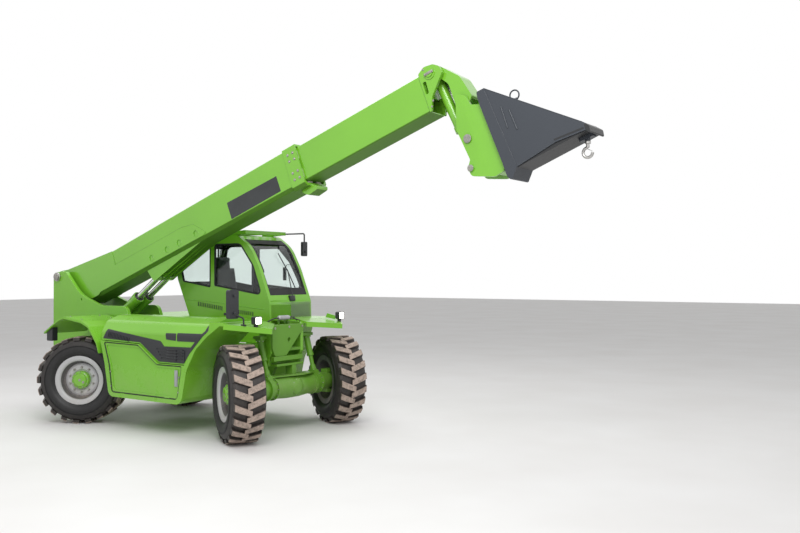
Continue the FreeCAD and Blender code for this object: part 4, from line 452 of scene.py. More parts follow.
def cad_copy(node):
    """A CAD node's mesh with its corners joined and its flat faces whole, as a bmesh."""
    bm = bmesh.new()
    bm.from_mesh(frame["nodes"][node].data)
    bmesh.ops.remove_doubles(bm, verts=bm.verts, dist=1e-5)
    bmesh.ops.dissolve_limit(bm, angle_limit=math.radians(0.5), verts=bm.verts, edges=bm.edges)
    return bm


def fair_copy(node, finishes, choose=None):
    """A cleaned copy of a CAD node with rounded edges, which stands for it. choose(middle, normal) gives a
    face's place in finishes."""
    bm = cad_copy(node)
    if choose is not None:
        for face in bm.faces:
            face.material_index = choose(face.calc_center_median() - SHIFT, face.normal)
    made = finish_piece(node + "_shape", bm, finishes, NODE_BODY[node])
    if bpy.context.scene.telehandler_sizes.edge > 0.0:
        add_bevel(made, bpy.context.scene.telehandler_sizes.edge)
    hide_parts(node)


def moved(bm, matrix):
    bmesh.ops.transform(bm, matrix=matrix, verts=bm.verts)
    return bm


def turned_to(own, way):
    """The turn that brings a shape's own axis onto a direction."""
    return ACROSS[own].rotation_difference(Vector(way)).to_matrix().to_4x4()


def about(axis, angle):
    return Matrix.Rotation(angle, 4, axis)


def around(count, radius, start=0.0):
    """Places spaced evenly round a circle. start is the first one's share of a step."""
    for k in range(count):
        turn = math.tau * (k + start) / count
        yield radius * math.cos(turn), radius * math.sin(turn)


def lathe(profile, steps, closed):
    """A bmesh spun about the y axis. The profile holds (radius, place along the axis)."""
    bm = bmesh.new()
    verts = [bm.verts.new((0.0, place, radius)) for radius, place in profile]
    edges = [bm.edges.new((verts[i], verts[i + 1])) for i in range(len(verts) - 1)]
    if closed:
        edges.append(bm.edges.new((verts[-1], verts[0])))
    bmesh.ops.spin(bm, geom=verts + edges, cent=(0, 0, 0), axis=ACROSS["y"], angle=math.tau, steps=steps,
                   use_merge=True)
    bmesh.ops.remove_doubles(bm, verts=bm.verts, dist=1e-5)
    bmesh.ops.recalc_face_normals(bm, faces=bm.faces)
    return bm


def corner_arc(here, back, ahead, reach, pieces):
    """A corner eased by a short curve that starts and ends at a reach from it."""
    a, c = here + back.normalized() * reach, here + ahead.normalized() * reach
    shares = [k / pieces for k in range(pieces + 1)]
    return [a * (1 - t) ** 2 + here * 2 * t * (1 - t) + c * t ** 2 for t in shares]


def rounded_lathe(points, steps=64, closed=True):
    """As lathe, with a profile point (radius, place, rounding) eased by a short curve."""
    profile = []
    count = len(points)
    for i, (r, h, *rest) in enumerate(points):
        here = Vector((r, h))
        ease = rest[0] if rest else 0.0
        if ease <= 0.0 or (not closed and i in (0, count - 1)):
            profile.append((r, h))
            continue
        back = Vector(points[i - 1][:2]) - here
        ahead = Vector(points[(i + 1) % count][:2]) - here
        reach = min(ease, 0.45 * back.length, 0.45 * ahead.length)
        profile += [(p.x, p.y) for p in corner_arc(here, back, ahead, reach, 3)]
    return lathe(profile, steps, closed)


def block(size, centre=(0, 0, 0), turn=None):
    """A box of the given size as a bmesh."""
    bm = bmesh.new()
    bmesh.ops.create_cube(bm, size=1.0)
    matrix = Matrix.Translation(centre)
    if turn is not None:
        matrix = matrix @ turn
    return moved(bm, matrix @ Matrix.Diagonal((*size, 1.0)))


def eased(bm, width):
    bmesh.ops.bevel(bm, geom=list(bm.edges), offset=width, offset_type="OFFSET", segments=2, affect="EDGES",
                    profile=0.5, material=-1, clamp_overlap=True)
    return bm


def eased_block(width, size, centre, turn=None):
    return eased(block(size, centre, turn), width)


def round_bar(start, end, radius, steps=24, ease=0.0):
    """A round bar between two points, with eased rims."""
    start, end = Vector(start), Vector(end)
    way = end - start
    ease = min(ease, radius * 0.8)
    profile = [(0.0, 0.0), (radius, 0.0, ease), (radius, way.length, ease), (0.0, way.length)]
    return moved(rounded_lathe(profile, steps, closed=False), Matrix.Translation(start) @ turned_to("y", way))


def merge(*shapes):
    """Several bmeshes put in one. The first one is kept and the rest are freed."""
    whole = shapes[0]
    for other in shapes[1:]:
        mesh = bpy.data.meshes.new("scratch")
        other.to_mesh(mesh)
        whole.from_mesh(mesh)
        other.free()
        bpy.data.meshes.remove(mesh)
    return whole


def marked(bm, index):
    for face in bm.faces:
        face.material_index = index
    return bm


def bolt(radius, height, place, way, washer=True):
    """A hexagon head with a chamfered top on a washer, standing on a face along way."""
    bm = bmesh.new()
    bmesh.ops.create_cone(bm, cap_ends=True, segments=6, radius1=radius, radius2=radius, depth=height)
    bmesh.ops.translate(bm, vec=(0, 0, height / 2), verts=bm.verts)
    top = [e for e in bm.edges if all(v.co.z > height * 0.9 for v in e.verts)]
    bmesh.ops.bevel(bm, geom=top, offset=radius * 0.16, offset_type="OFFSET", segments=1, affect="EDGES",
                    profile=0.5, material=-1)
    if washer:
        disc = bmesh.new()
        wide, thick = radius * 1.45, height * 0.28
        bmesh.ops.create_cone(disc, cap_ends=True, segments=18, radius1=wide, radius2=wide, depth=thick)
        bmesh.ops.translate(disc, vec=(0, 0, thick / 2), verts=disc.verts)
        bm = merge(bm, disc)
    return moved(bm, Matrix.Translation(place) @ turned_to("z", way))


def outline(points, step=12.0):
    """Corners (a, b, radius) as a closed run of points, each corner a tangent arc."""
    run = []
    count = len(points)
    for i, (a, b, *rest) in enumerate(points):
        here = Vector((a, b))
        back = Vector(points[i - 1][:2]) - here
        ahead = Vector(points[(i + 1) % count][:2]) - here
        half = back.angle(ahead) / 2.0
        if not rest or rest[0] <= 0.0 or half > 1.56:
            run.append((a, b))
            continue
        reach = min(rest[0] / math.tan(half), 0.48 * back.length, 0.48 * ahead.length)
        back.normalize()
        ahead.normalize()
        middle = here + (back + ahead).normalized() * (reach / math.cos(half))
        start, end = here + back * reach - middle, here + ahead * reach - middle
        turn = math.atan2(start.x * end.y - start.y * end.x, start.dot(end))
        pieces = max(2, math.ceil(abs(turn) / math.radians(step)))
        for k in range(pieces + 1):
            t = turn * k / pieces
            run.append((middle.x + start.x * math.cos(t) - start.y * math.sin(t),
                        middle.y + start.x * math.sin(t) + start.y * math.cos(t)))
    return run


ACROSS = {"x": Vector((1, 0, 0)), "y": Vector((0, 1, 0)), "z": Vector((0, 0, 1))}


def rectangle(a0, b0, a1, b1, ease):
    """The four corners of an outline, each with the same rounding."""
    return [(a0, b0, ease), (a1, b0, ease), (a1, b1, ease), (a0, b1, ease)]


def flat_face(bm, points, axis, level):
    """A face from an outline in the two other axes, at a level along the axis."""
    verts = []
    for a, b in outline(points):
        place = {"x": (level, a, b), "y": (a, level, b), "z": (a, b, level)}[axis]
        verts.append(bm.verts.new(place))
    return bmesh.ops.contextual_create(bm, geom=verts)["faces"]


def drawn_out(bm, faces, axis, length):
    out = bmesh.ops.extrude_face_region(bm, geom=faces)
    verts = [g for g in out["geom"] if isinstance(g, bmesh.types.BMVert)]
    bmesh.ops.translate(bm, vec=ACROSS[axis] * length, verts=verts)
    bmesh.ops.recalc_face_normals(bm, faces=bm.faces)
    return bm


def plate(points, axis, low, high):
    """A flat plate from an outline of corners (a, b, radius), drawn out along the axis."""
    bm = bmesh.new()
    return drawn_out(bm, flat_face(bm, points, axis, low), axis, high - low)


def strip(points, axis, low, high, wide):
    """A closed band just inside an outline, such as a window's seal."""
    bm = bmesh.new()
    faces = flat_face(bm, points, axis, low)
    ring = bmesh.ops.inset_region(bm, faces=faces, thickness=wide, use_boundary=True,
                                  use_even_offset=True)["faces"]
    bmesh.ops.delete(bm, geom=faces, context="FACES_ONLY")
    return drawn_out(bm, ring, axis, high - low)


def pipe(points, radius, bend=6):
    """A round pipe or bar along a run of points, its corners eased."""
    curve = bpy.data.curves.new("scratch", "CURVE")
    curve.dimensions = "3D"
    curve.bevel_depth = radius
    curve.bevel_resolution = 4
    curve.use_fill_caps = True
    eased_run = [Vector(points[0])]
    for i in range(1, len(points) - 1):
        here = Vector(points[i])
        back, ahead = Vector(points[i - 1]) - here, Vector(points[i + 1]) - here
        reach = min(4.0 * radius, 0.45 * back.length, 0.45 * ahead.length)
        eased_run += corner_arc(here, back, ahead, reach, bend)
    eased_run.append(Vector(points[-1]))
    spline = curve.splines.new("POLY")
    spline.points.add(len(eased_run) - 1)
    for point, place in zip(spline.points, eased_run):
        point.co = (place.x, place.y, place.z, 1.0)
    holder = bpy.data.objects.new("scratch", curve)
    bpy.context.scene.collection.objects.link(holder)
    mesh = bpy.data.meshes.new_from_object(holder.evaluated_get(bpy.context.evaluated_depsgraph_get()))
    bm = bmesh.new()
    bm.from_mesh(mesh)
    bpy.data.objects.remove(holder)
    bpy.data.curves.remove(curve)
    bpy.data.meshes.remove(mesh)
    bmesh.ops.remove_doubles(bm, verts=bm.verts, dist=1e-6)
    bmesh.ops.recalc_face_normals(bm, faces=bm.faces)
    return bm


def fitted(name, bm, finishes, node, edge, smooth, place):
    made = finish_piece(name, bm, finishes, NODE_BODY[node], smooth, place)
    if edge > 0.0:
        add_bevel(made, edge)


def on_machine(name, bm, finishes, node, edge=0.0):
    """A piece built in the machine's own frame, which rides with a CAD node's body."""
    fitted(name, bm, finishes, node, edge, 32.0, MACHINE)


def on_stage(name, bm, finishes, node, edge=0.0, smooth=32.0):
    """A piece built in boom coordinates (u, y, v), which rides with a CAD node's body."""
    fitted(name, bm, finishes, node, edge, smooth, BOOM)


def at(x, y, z):
    """A place in the machine's own frame, in the row frame."""
    return Vector((x, y, z)) + SHIFT


# Wheels

def corner_place(corner):
    """The matrix of a wheel's centre, its own -y pointing outwards from the machine."""
    spin = JOINTS["spin_" + corner]
    axle = Vector(spin["axis"])
    side = Matrix.Scale(-1.0, 4, (0, 1, 0)) if corner.endswith("left") else Matrix.Identity(4)
    turn = about("Z", math.atan2(-axle.x, axle.y))
    return Matrix.Translation(Vector(spin["pos_m"])) @ turn @ side


def lug_block(sizes, side, turn):
    """One tread lug, bent round the carcass. It slants from the shoulder to just past the middle."""
    half = sizes.tyre_width / 2.0
    low = sizes.tyre_radius - sizes.lug_height - 0.012
    bm = bmesh.new()
    bmesh.ops.create_cube(bm, size=1.0)
    bmesh.ops.subdivide_edges(bm, edges=bm.edges, cuts=2, use_grid_fill=True)
    outer, inner = -0.862 * half, 0.030
    for vert in bm.verts:
        across, along, up = vert.co.y + 0.5, vert.co.x, vert.co.z + 0.5
        y = outer + (inner - outer) * across
        skew = -0.046 + 0.092 * across
        width = (0.094 - 0.010 * across) * (1.12 - 0.20 * up)
        radius = low + (sizes.tyre_radius - low) * up
        if up > 0.9:
            radius -= 0.0022 * (1.0 - math.cos(3.0 * (across - 0.5)))
        if across < 0.1:
            y += 0.014 * up
        angle = (skew + along * width) / sizes.tyre_radius + turn
        vert.co = Vector((radius * math.sin(angle), y if side < 0 else -y, radius * math.cos(angle)))
    if side > 0:
        bmesh.ops.reverse_faces(bm, faces=bm.faces)
    return bm


def tyre_shape(sizes):
    half = sizes.tyre_width / 2.0
    tread = sizes.tyre_radius - sizes.lug_height
    # radius, place across, rounding
    side = [(0.2885, 0.690 * half, 0.0), (0.316, 0.752 * half, 0.01), (0.360, 0.815 * half, 0.012),
            (0.400, 0.955 * half, 0.04), (0.440, 0.999 * half, 0.04), (0.500, 0.965 * half, 0.03),
            (0.546, 0.880 * half, 0.012), (0.560, 0.845 * half, 0.008), (tread - 0.002, 0.705 * half, 0.018)]
    profile = [(r, -y, ease) for r, y, ease in side] + [(tread + 0.003, 0.0, 0.2)]
    profile += [(r, y, ease) for r, y, ease in reversed(side)]
    pieces = [rounded_lathe(profile, 96)]
    step = math.tau / sizes.lugs
    for k in range(sizes.lugs):
        pieces.append(lug_block(sizes, -1, k * step))
        pieces.append(lug_block(sizes, 1, (k + 0.5) * step))
    # thin rings on both sidewalls
    for side in SIDES:
        for radius, out, thick in ((0.378, 0.870, 0.005), (0.484, 0.968, 0.004)):
            foot, top = side * out * half - 0.004, side * (out * half + thick)
            pieces.append(rounded_lathe([(radius, foot, 0.002), (radius + 0.012, foot, 0.002),
                                         (radius + 0.010, top, 0.002), (radius + 0.002, top, 0.002)], 96))
    whole = merge(*pieces)
    layer = whole.verts.layers.float.new("dust")
    # the lugs' tops are dusty, and the rest holds a trace of dust down to the sidewalls
    for vert in whole.verts:
        radius = math.hypot(vert.co.x, vert.co.z)
        if radius > sizes.tyre_radius - 0.006:
            vert[layer] = 1.0
        elif radius > tread - 0.02:
            vert[layer] = 0.07
        elif radius > 0.5:
            vert[layer] = 0.035
    return whole


def rim_shape():
    """The rim with its recessed disc, bolt circle and planetary hub cap, outside towards -y."""
    face = -0.0711
    silver = rounded_lathe([(0.2865, -0.166, 0.004), (0.346, -0.1885, 0.012), (0.3535, -0.1945, 0.004),
                            (0.348, -0.2020, 0.006), (0.312, -0.1975, 0.010), (0.288, -0.188, 0.010),
                            (0.276, -0.172, 0.006), (0.278, -0.166, 0.002)], 96)
    well = rounded_lathe([(0.2862, -0.168), (0.275, -0.172, 0.004), (0.266, -0.135, 0.01),
                          (0.260, face - 0.02, 0.02), (0.236, face - 0.006, 0.012), (0.236, face + 0.004),
                          (0.266, face + 0.012, 0.01), (0.274, 0.160), (0.282, 0.193),
                          (0.352, 0.2015), (0.352, 0.1915), (0.2862, 0.168)], 96)
    disc = rounded_lathe([(0.24, face + 0.004), (0.24, face - 0.009, 0.006), (0.206, face - 0.026, 0.016),
                          (0.150, face - 0.026, 0.008), (0.138, face - 0.014, 0.004), (0.128, face - 0.014),
                          (0.128, face + 0.004)], 80)
    cap = rounded_lathe([(0.0, face - 0.1125), (0.088, face - 0.1125, 0.006), (0.100, face - 0.094, 0.006),
                         (0.122, face - 0.086, 0.008), (0.1295, face - 0.066, 0.004), (0.1295, face),
                         (0.0, face)], 64, closed=False)
    back = rounded_lathe([(0.0, face + 0.0265), (0.236, face + 0.0265, 0.004), (0.236, face),
                          (0.0, face)], 48, closed=False)
    out = (0, -1, 0)
    bolts = []
    for x, z in around(10, 0.178, 0.5):
        place = Vector((x, face - 0.0255, z))
        bolts.append(bolt(0.0135, 0.022, place, out))
        bolts.append(round_bar(place, place + Vector((0, -0.034, 0)), 0.0075, 12, 0.002))
    bolts += [bolt(0.008, 0.008, (x, face - 0.0915, z), out, False) for x, z in around(9, 0.108, 0.25)]
    bolts += [bolt(0.013, 0.010, (x, face - 0.1125, z), out) for x, z in ((0.0, 0.0), (0.052, -0.03))]
    valve = round_bar((0.255, face - 0.02, 0.02), (0.262, face - 0.075, 0.02), 0.006, 12, 0.002)
    return merge(silver, marked(well, 1), disc, marked(cap, 2), marked(back, 1),
                 marked(merge(*bolts, valve), 3))


class TELEHANDLER_OT_wheels(bpy.types.Operator):
    """Makes the four tyres with their lugs, and the rims with their bolts and hub caps"""
    bl_idname = "telehandler.wheels"
    bl_label = "Wheels"

    def execute(self, context):
        sizes = context.scene.telehandler_sizes
        for corner in CORNERS:
            place = corner_place(corner)
            body = "wheel_" + corner
            tyre = finish_piece("tyre_" + corner + "_shape", tyre_shape(sizes), "tyre", body, 40.0,
                                place)
            add_bevel(tyre, 0.004, 40.0)
            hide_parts("tyre_" + corner)
            rim = finish_piece("rim_" + corner + "_shape", rim_shape(), ["rim", "well", "body", "bolt"], body,
                               35.0, place)
            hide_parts("rim_" + corner)
        return {"FINISHED"}


# Structure: clean copies of the CAD nodes with rounded edges and their finishes

def between(value, low, high):
    return low < value < high


def line_at(z, points):
    """The x of a run of (x, z) points at a height, held at both ends."""
    for (x0, z0), (x1, z1) in zip(points, points[1:]):
        if z <= z1:
            share = max(0.0, (z - z0) / (z1 - z0))
            return x0 + (x1 - x0) * share
    return points[-1][0]


CAB_REAR = ((-0.60, 1.16), (-0.672, 1.50), (-0.945, 2.11), (-0.88, 2.735))
CAB_FRONT = ((0.80, 1.16), (0.935, 1.45), (0.93, 1.76), (0.74, 2.237), (0.56, 2.56), (0.30, 2.735))


def cab_finish(middle, normal):
    """0 is paint, 1 the lining inside, 2 the black edges of the window openings."""
    x, y, z = middle
    within = line_at(z, CAB_REAR) + 0.03 < x < line_at(z, CAB_FRONT) - 0.05
    wall = between(y, 0.2505, 0.2955) or between(y, 1.1545, 1.1995)
    if wall:
        return 2 if within and between(z, 1.24, 2.66) else 0
    if between(y, 0.2955, 1.1545) and between(z, 1.19, 2.70):
        inner = line_at(z, CAB_REAR) + 0.022 < x < line_at(z, CAB_FRONT) - 0.022
        return 1 if inner else 0
    return 0


def door_finish(middle, normal):
    """0 is paint, 1 the black edges of the door's windows and its inner face."""
    opening = between(middle.x, -0.15, 0.76) and between(middle.z, 1.30, 2.60)
    return 1 if normal.y < -0.5 or (opening and between(middle.y, 1.161, 1.193)) else 0


def frame_finish(middle, normal):
    """0 is the bright paint of the tower, 1 the underframe's darker copy of it below 1.05 m, a painted shade.
    """
    return 0 if middle.z > 1.05 else 1


def tank_finish(middle, normal):
    """0 is paint, 1 the dark steps and their recesses."""
    recess = between(middle.x, -0.045, 0.565) and between(middle.z, 0.497, 0.988) and middle.y > 0.9
    return 1 if recess and middle.y < 1.2185 else 0


def boom_finish(middle, normal):
    """0 is the gloss paint, 1 a darker, duller copy of it on the faces that look down, a painted shade."""
    return 1 if normal.z < -0.6 else 0


def coupler_finish(middle, normal):
    """0 is paint, 1 the face between the cheeks in near-black paint, a painted shade."""
    return 1 if abs(middle.y - BOOM_Y) < 0.108 and normal.x < -0.2 else 0


class TELEHANDLER_OT_structure(bpy.types.Operator):
    """Gives the body, chassis, boom and cab their rounded edges and finishes"""
    bl_idname = "telehandler.structure"
    bl_label = "Structure"

    def execute(self, context):
        # the underframe's parts take the darker copy of the body paint, a painted shade
        plain = {
            "chassis_crossmembers": "under", "rear_ballast": "cast", "front_axle": "under",
            "rear_axle": "under", "axle_struts": "under", "side_body": "body", "engine_block": "cast",
            "fenders": "body", "roof_guard": "body", "seat_base": "inside", "steering_console": "inside",
            "chassis_pins": "steel", "engine_hood": "body", "hood_grille": "trim", "service_door": "body",
            "boom_pads": "pad", "jib": "jib", "jib_hook": "steel", "lift_barrels": "boom",
            "lift_rods": "chrome", "tilt_barrel": "boom", "tilt_rod": "chrome", "lamps": "trim",
            "mirrors": "trim",
        }
        for corner in CORNERS:
            plain["knuckle_" + corner] = "under"
        for node, finish in plain.items():
            fair_copy(node, finish)
        fair_copy("chassis_frame", ["body", "under"], frame_finish)
        fair_copy("cab_frame", ["body", "inside", "rubber"], cab_finish)
        fair_copy("cab_door", ["body", "rubber"], door_finish)
        fair_copy("left_tank", ["body", "dark"], tank_finish)
        # the coupler's face between the cheeks gets a painted shade
        fair_copy("coupler", ["boom", "dark"], coupler_finish)
        # the boom's faces that look down get the painted shade
        for node in ("boom_outer", "boom_inner"):
            fair_copy(node, ["boom", "shade"], boom_finish)
        for node in ("cab_glass", "cab_door_glass"):
            paint_node(node, "glass")
        return {"FINISHED"}


def paint_node(node, finish):
    """Gives a CAD node that stays its finish."""
    mesh = frame["nodes"][node].data
    mesh.materials.clear()
    mesh.materials.append(MATERIALS[finish])


# Cab: seals, lining, seat, controls, vents, wiper and handles

CAB_PROFILE = [(-0.600, 1.160, 0.06), (-0.672, 1.500, 0.2), (-0.945, 2.110, 0.2), (-0.880, 2.735, 0.15),
               (0.300, 2.735, 0.16), (0.560, 2.560, 0.5), (0.740, 2.237, 0.9), (0.930, 1.760, 0.3),
               (0.940, 1.450, 0.2), (0.800, 1.160, 0.08)]
REAR_WINDOW = [(-0.815, 2.040, 0.04), (-0.232, 1.955, 0.03), (-0.232, 2.612, 0.06), (-0.790, 2.612, 0.12),
               (-0.872, 2.250, 0.06)]
FRONT_WINDOW = [(-0.158, 1.980, 0.03), (0.795, 1.848, 0.06), (0.625, 2.290, 0.3), (0.370, 2.612, 0.12),
                (-0.158, 2.612, 0.06)]
DOOR_UPPER = [(-0.120, 1.990, 0.03), (0.770, 1.905, 0.06), (0.590, 2.290, 0.3), (0.300, 2.570, 0.09),
              (-0.120, 2.570, 0.04)]
DOOR_LOWER = [(-0.110, 1.330, 0.04), (0.730, 1.330, 0.05), (0.780, 1.700, 0.1), (0.740, 1.820, 0.04),
              (-0.110, 1.900, 0.03)]
SEAL_WIDE = 0.022
SCREEN_Y = (0.312, 1.138)
CAB_MID = 0.725


def screen_strip(y0, y1, z0, z1):
    """A seal that follows the cab's front between two heights, just inside its profile."""
    out, deep = 0.006, 0.030
    run = sorted((p for p in outline(CAB_PROFILE, 4.0) if p[0] > 0.2), key=lambda p: p[1])
    front = [(line_at(z0, run), z0)] + [p for p in run if z0 < p[1] < z1] + [(line_at(z1, run), z1)]
    points = [(x - out, z) for x, z in front] + [(x - deep, z) for x, z in reversed(front)]
    return plate(points, "y", y0, y1)


class TELEHANDLER_OT_glazing(bpy.types.Operator):
    """Sets the black seals round the cab's windows, windscreen, rear and roof panes"""
    bl_idname = "telehandler.glazing"
    bl_label = "Window seals"

    def execute(self, context):
        right, left = (0.2465, 0.268), (1.182, 1.2035)
        walls = ((REAR_WINDOW, right), (FRONT_WINDOW, right), (REAR_WINDOW, left))
        sides = [strip(window, "y", *wall, SEAL_WIDE) for window, wall in walls]
        on_machine("side_window_seals", merge(*sides), "rubber", "cab_frame", 0.0015)
        doors = [strip(window, "y", 1.180, 1.1975, SEAL_WIDE) for window in (DOOR_UPPER, DOOR_LOWER)]
        on_machine("door_window_seals", merge(*doors), "rubber", "cab_door", 0.0015)
        y0, y1 = SCREEN_Y
        low, high, post = 1.852, 2.662, 0.034
        bars = [screen_strip(y0, y0 + post, low, high), screen_strip(y1 - post, y1, low, high),
                screen_strip(y0, y1, low, low + 0.10), screen_strip(y0, y1, high - 0.055, high)]
        on_machine("windscreen_seal", merge(*bars), "rubber", "cab_frame", 0.001)
        back = [block((0.012, 0.030, 0.52), (-0.925, y, 2.30)) for y in (y0 + 0.016, y1 - 0.016)]
        on_machine("rear_pane_seal", merge(*back), "rubber", "cab_frame", 0.001)
        roof = strip(rectangle(-0.520, y0 + 0.062, 0.180, y1 - 0.062, 0.03), "z", 2.718, 2.7375, 0.024)
        on_machine("roof_pane_seal", roof, "rubber", "cab_frame", 0.001)
        return {"FINISHED"}


PAD_DRAWN_IN = 0.007
PAD_SWELL = 0.022
CLOTH_FRAMES = 20


def swelled(bm, name):
    """A stuffed pad from a plain solid: drawn in a little, remeshed, and swelled by cloth pressure."""
    bm.normal_update()
    for vert in bm.verts:
        vert.co -= vert.normal * PAD_DRAWN_IN
    made = finish_piece(name, bm, "cloth", NODE_BODY["seat_pads"], 180.0)
    bpy.context.view_layer.objects.active = made
    remesh = made.modifiers.new("Even mesh", "REMESH")
    remesh.mode = "VOXEL"
    remesh.voxel_size = 0.0085
    apply_modifiers(made)
    rest = [v.co.copy() for v in made.data.vertices]
    cloth = made.modifiers.new("Cloth", "CLOTH")
    cloth.settings.use_pressure = True
    cloth.settings.uniform_pressure_force = 4.0
    cloth.settings.effector_weights.gravity = 0.0
    cloth.point_cache.frame_start = 1
    cloth.point_cache.frame_end = CLOTH_FRAMES
    for step in range(1, CLOTH_FRAMES + 1):
        bpy.context.scene.frame_set(step)
    apply_modifiers(made)
    for vert, start in zip(made.data.vertices, rest):
        move = vert.co - start
        if move.length > PAD_SWELL:
            vert.co = start + move.normalized() * PAD_SWELL
    bpy.context.scene.frame_set(1)
    return made


def apply_modifiers(made):
    """Puts the modifiers' result into the mesh and clears them."""
    graph = bpy.context.evaluated_depsgraph_get()
    mesh = bpy.data.meshes.new_from_object(made.evaluated_get(graph))
    old = made.data
    made.modifiers.clear()
    made.data = mesh
    bpy.data.meshes.remove(old)


def pad_part(index):
    """One of the seat node's solids as a bmesh: 0 the lower one, the cushion, 1 the backrest."""
    bm = cad_copy("seat_pads")
    groups = []
    seen = set()
    for start in bm.verts:
        if start in seen:
            continue
        group, stack = set(), [start]
        while stack:
            vert = stack.pop()
            if vert not in group:
                group.add(vert)
                stack += [e.other_vert(vert) for e in vert.link_edges]
        seen |= group
        groups.append(group)
    groups.sort(key=lambda g: sum(v.co.z for v in g) / len(g))
    bmesh.ops.delete(bm, geom=[v for v in bm.verts if v not in groups[index]], context="VERTS")
    return bm


class TELEHANDLER_OT_seat(bpy.types.Operator):
    """Makes the stuffed seat cushion and backrest with their piping"""
    bl_idname = "telehandler.seat"
    bl_label = "Seat"

    def execute(self, context):
        cushion = swelled(pad_part(0), "seat_cushion_shape")
        back = swelled(pad_part(1), "seat_back_shape")
        for pad in (cushion, back):
            for face in pad.data.polygons:
                face.use_smooth = True
            smooth = pad.modifiers.new("Fine surface", "SUBSURF")
            smooth.levels = 1
            smooth.render_levels = 1
        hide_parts("seat_pads")
        z, half = 1.6085, 0.232
        y0, y1 = CAB_MID - half, CAB_MID + half
        seam = [(-0.330, y0, z), (0.060, y0, z - 0.006), (0.085, y0 + 0.03, z - 0.006),
                (0.085, y1 - 0.03, z - 0.006), (0.060, y1, z - 0.006), (-0.330, y1, z)]
        piping = [pipe(seam, 0.004)]
        for side in SIDES:
            y = CAB_MID + side * 0.135
            piping.append(pipe([(-0.30, y, z + 0.012), (-0.12, y, z + 0.016), (0.06, y, z + 0.007)], 0.003))
            piping.append(pipe([(-0.275, y, 1.66), (-0.310, y, 1.90), (-0.362, y, 2.17)], 0.003))
        on_machine("seat_piping", merge(*piping), "rubber", "seat_pads")
        return {"FINISHED"}


def screen_x(z):
    """Where the windscreen's line is at a height."""
    return line_at(z, CAB_FRONT)


def fit_cab_outside():
    """The vents, crease and catch on the right wall, and the wiper on the windscreen."""
    slots = [eased_block(0.0015, (0.017, 0.004, 0.064), (-0.487 + 0.0375 * k, 0.2488, 1.706 - 0.0045 * k))
             for k in range(14)]
    slots += [eased_block(0.0015, (0.017, 0.004, 0.058), (0.345 + 0.0385 * k, 0.2488, 1.604 - 0.0035 * k))
              for k in range(8)]
    on_machine("cab_side_vents", merge(*slots), "rubber", "cab_frame")
    crease = [(x, 0.2495, z) for x, z in ((-0.74, 1.772), (-0.10, 1.735), (0.60, 1.668), (0.84, 1.650))]
    on_machine("cab_side_crease", pipe(crease, 0.005), "body", "cab_frame")
    catch = merge(eased_block(0.004, (0.060, 0.012, 0.034), (0.075, 0.2450, 1.565)),
                  round_bar((0.075, 0.250, 1.565), (0.075, 0.236, 1.565), 0.010, 20, 0.002))
    on_machine("cab_side_catch", catch, "trim", "cab_frame")
    motor = (screen_x(1.80) + 0.004, 0.760, 1.800)
    cover = eased_block(0.010, (0.050, 0.12, 0.085), motor, about("Y", -0.12))
    arm = pipe([(screen_x(1.82) + 0.030, 0.760, 1.815), (screen_x(2.0) + 0.028, 0.800, 2.00),
                (screen_x(2.22) + 0.016, 0.850, 2.22)], 0.007)
    blade = pipe([(screen_x(1.95) + 0.010, 0.905, 1.95), (screen_x(2.2) + 0.010, 0.855, 2.20),
                  (screen_x(2.47) + 0.008, 0.800, 2.47)], 0.008)
    on_machine("windscreen_wiper", merge(cover, arm, blade), "trim", "cab_frame")


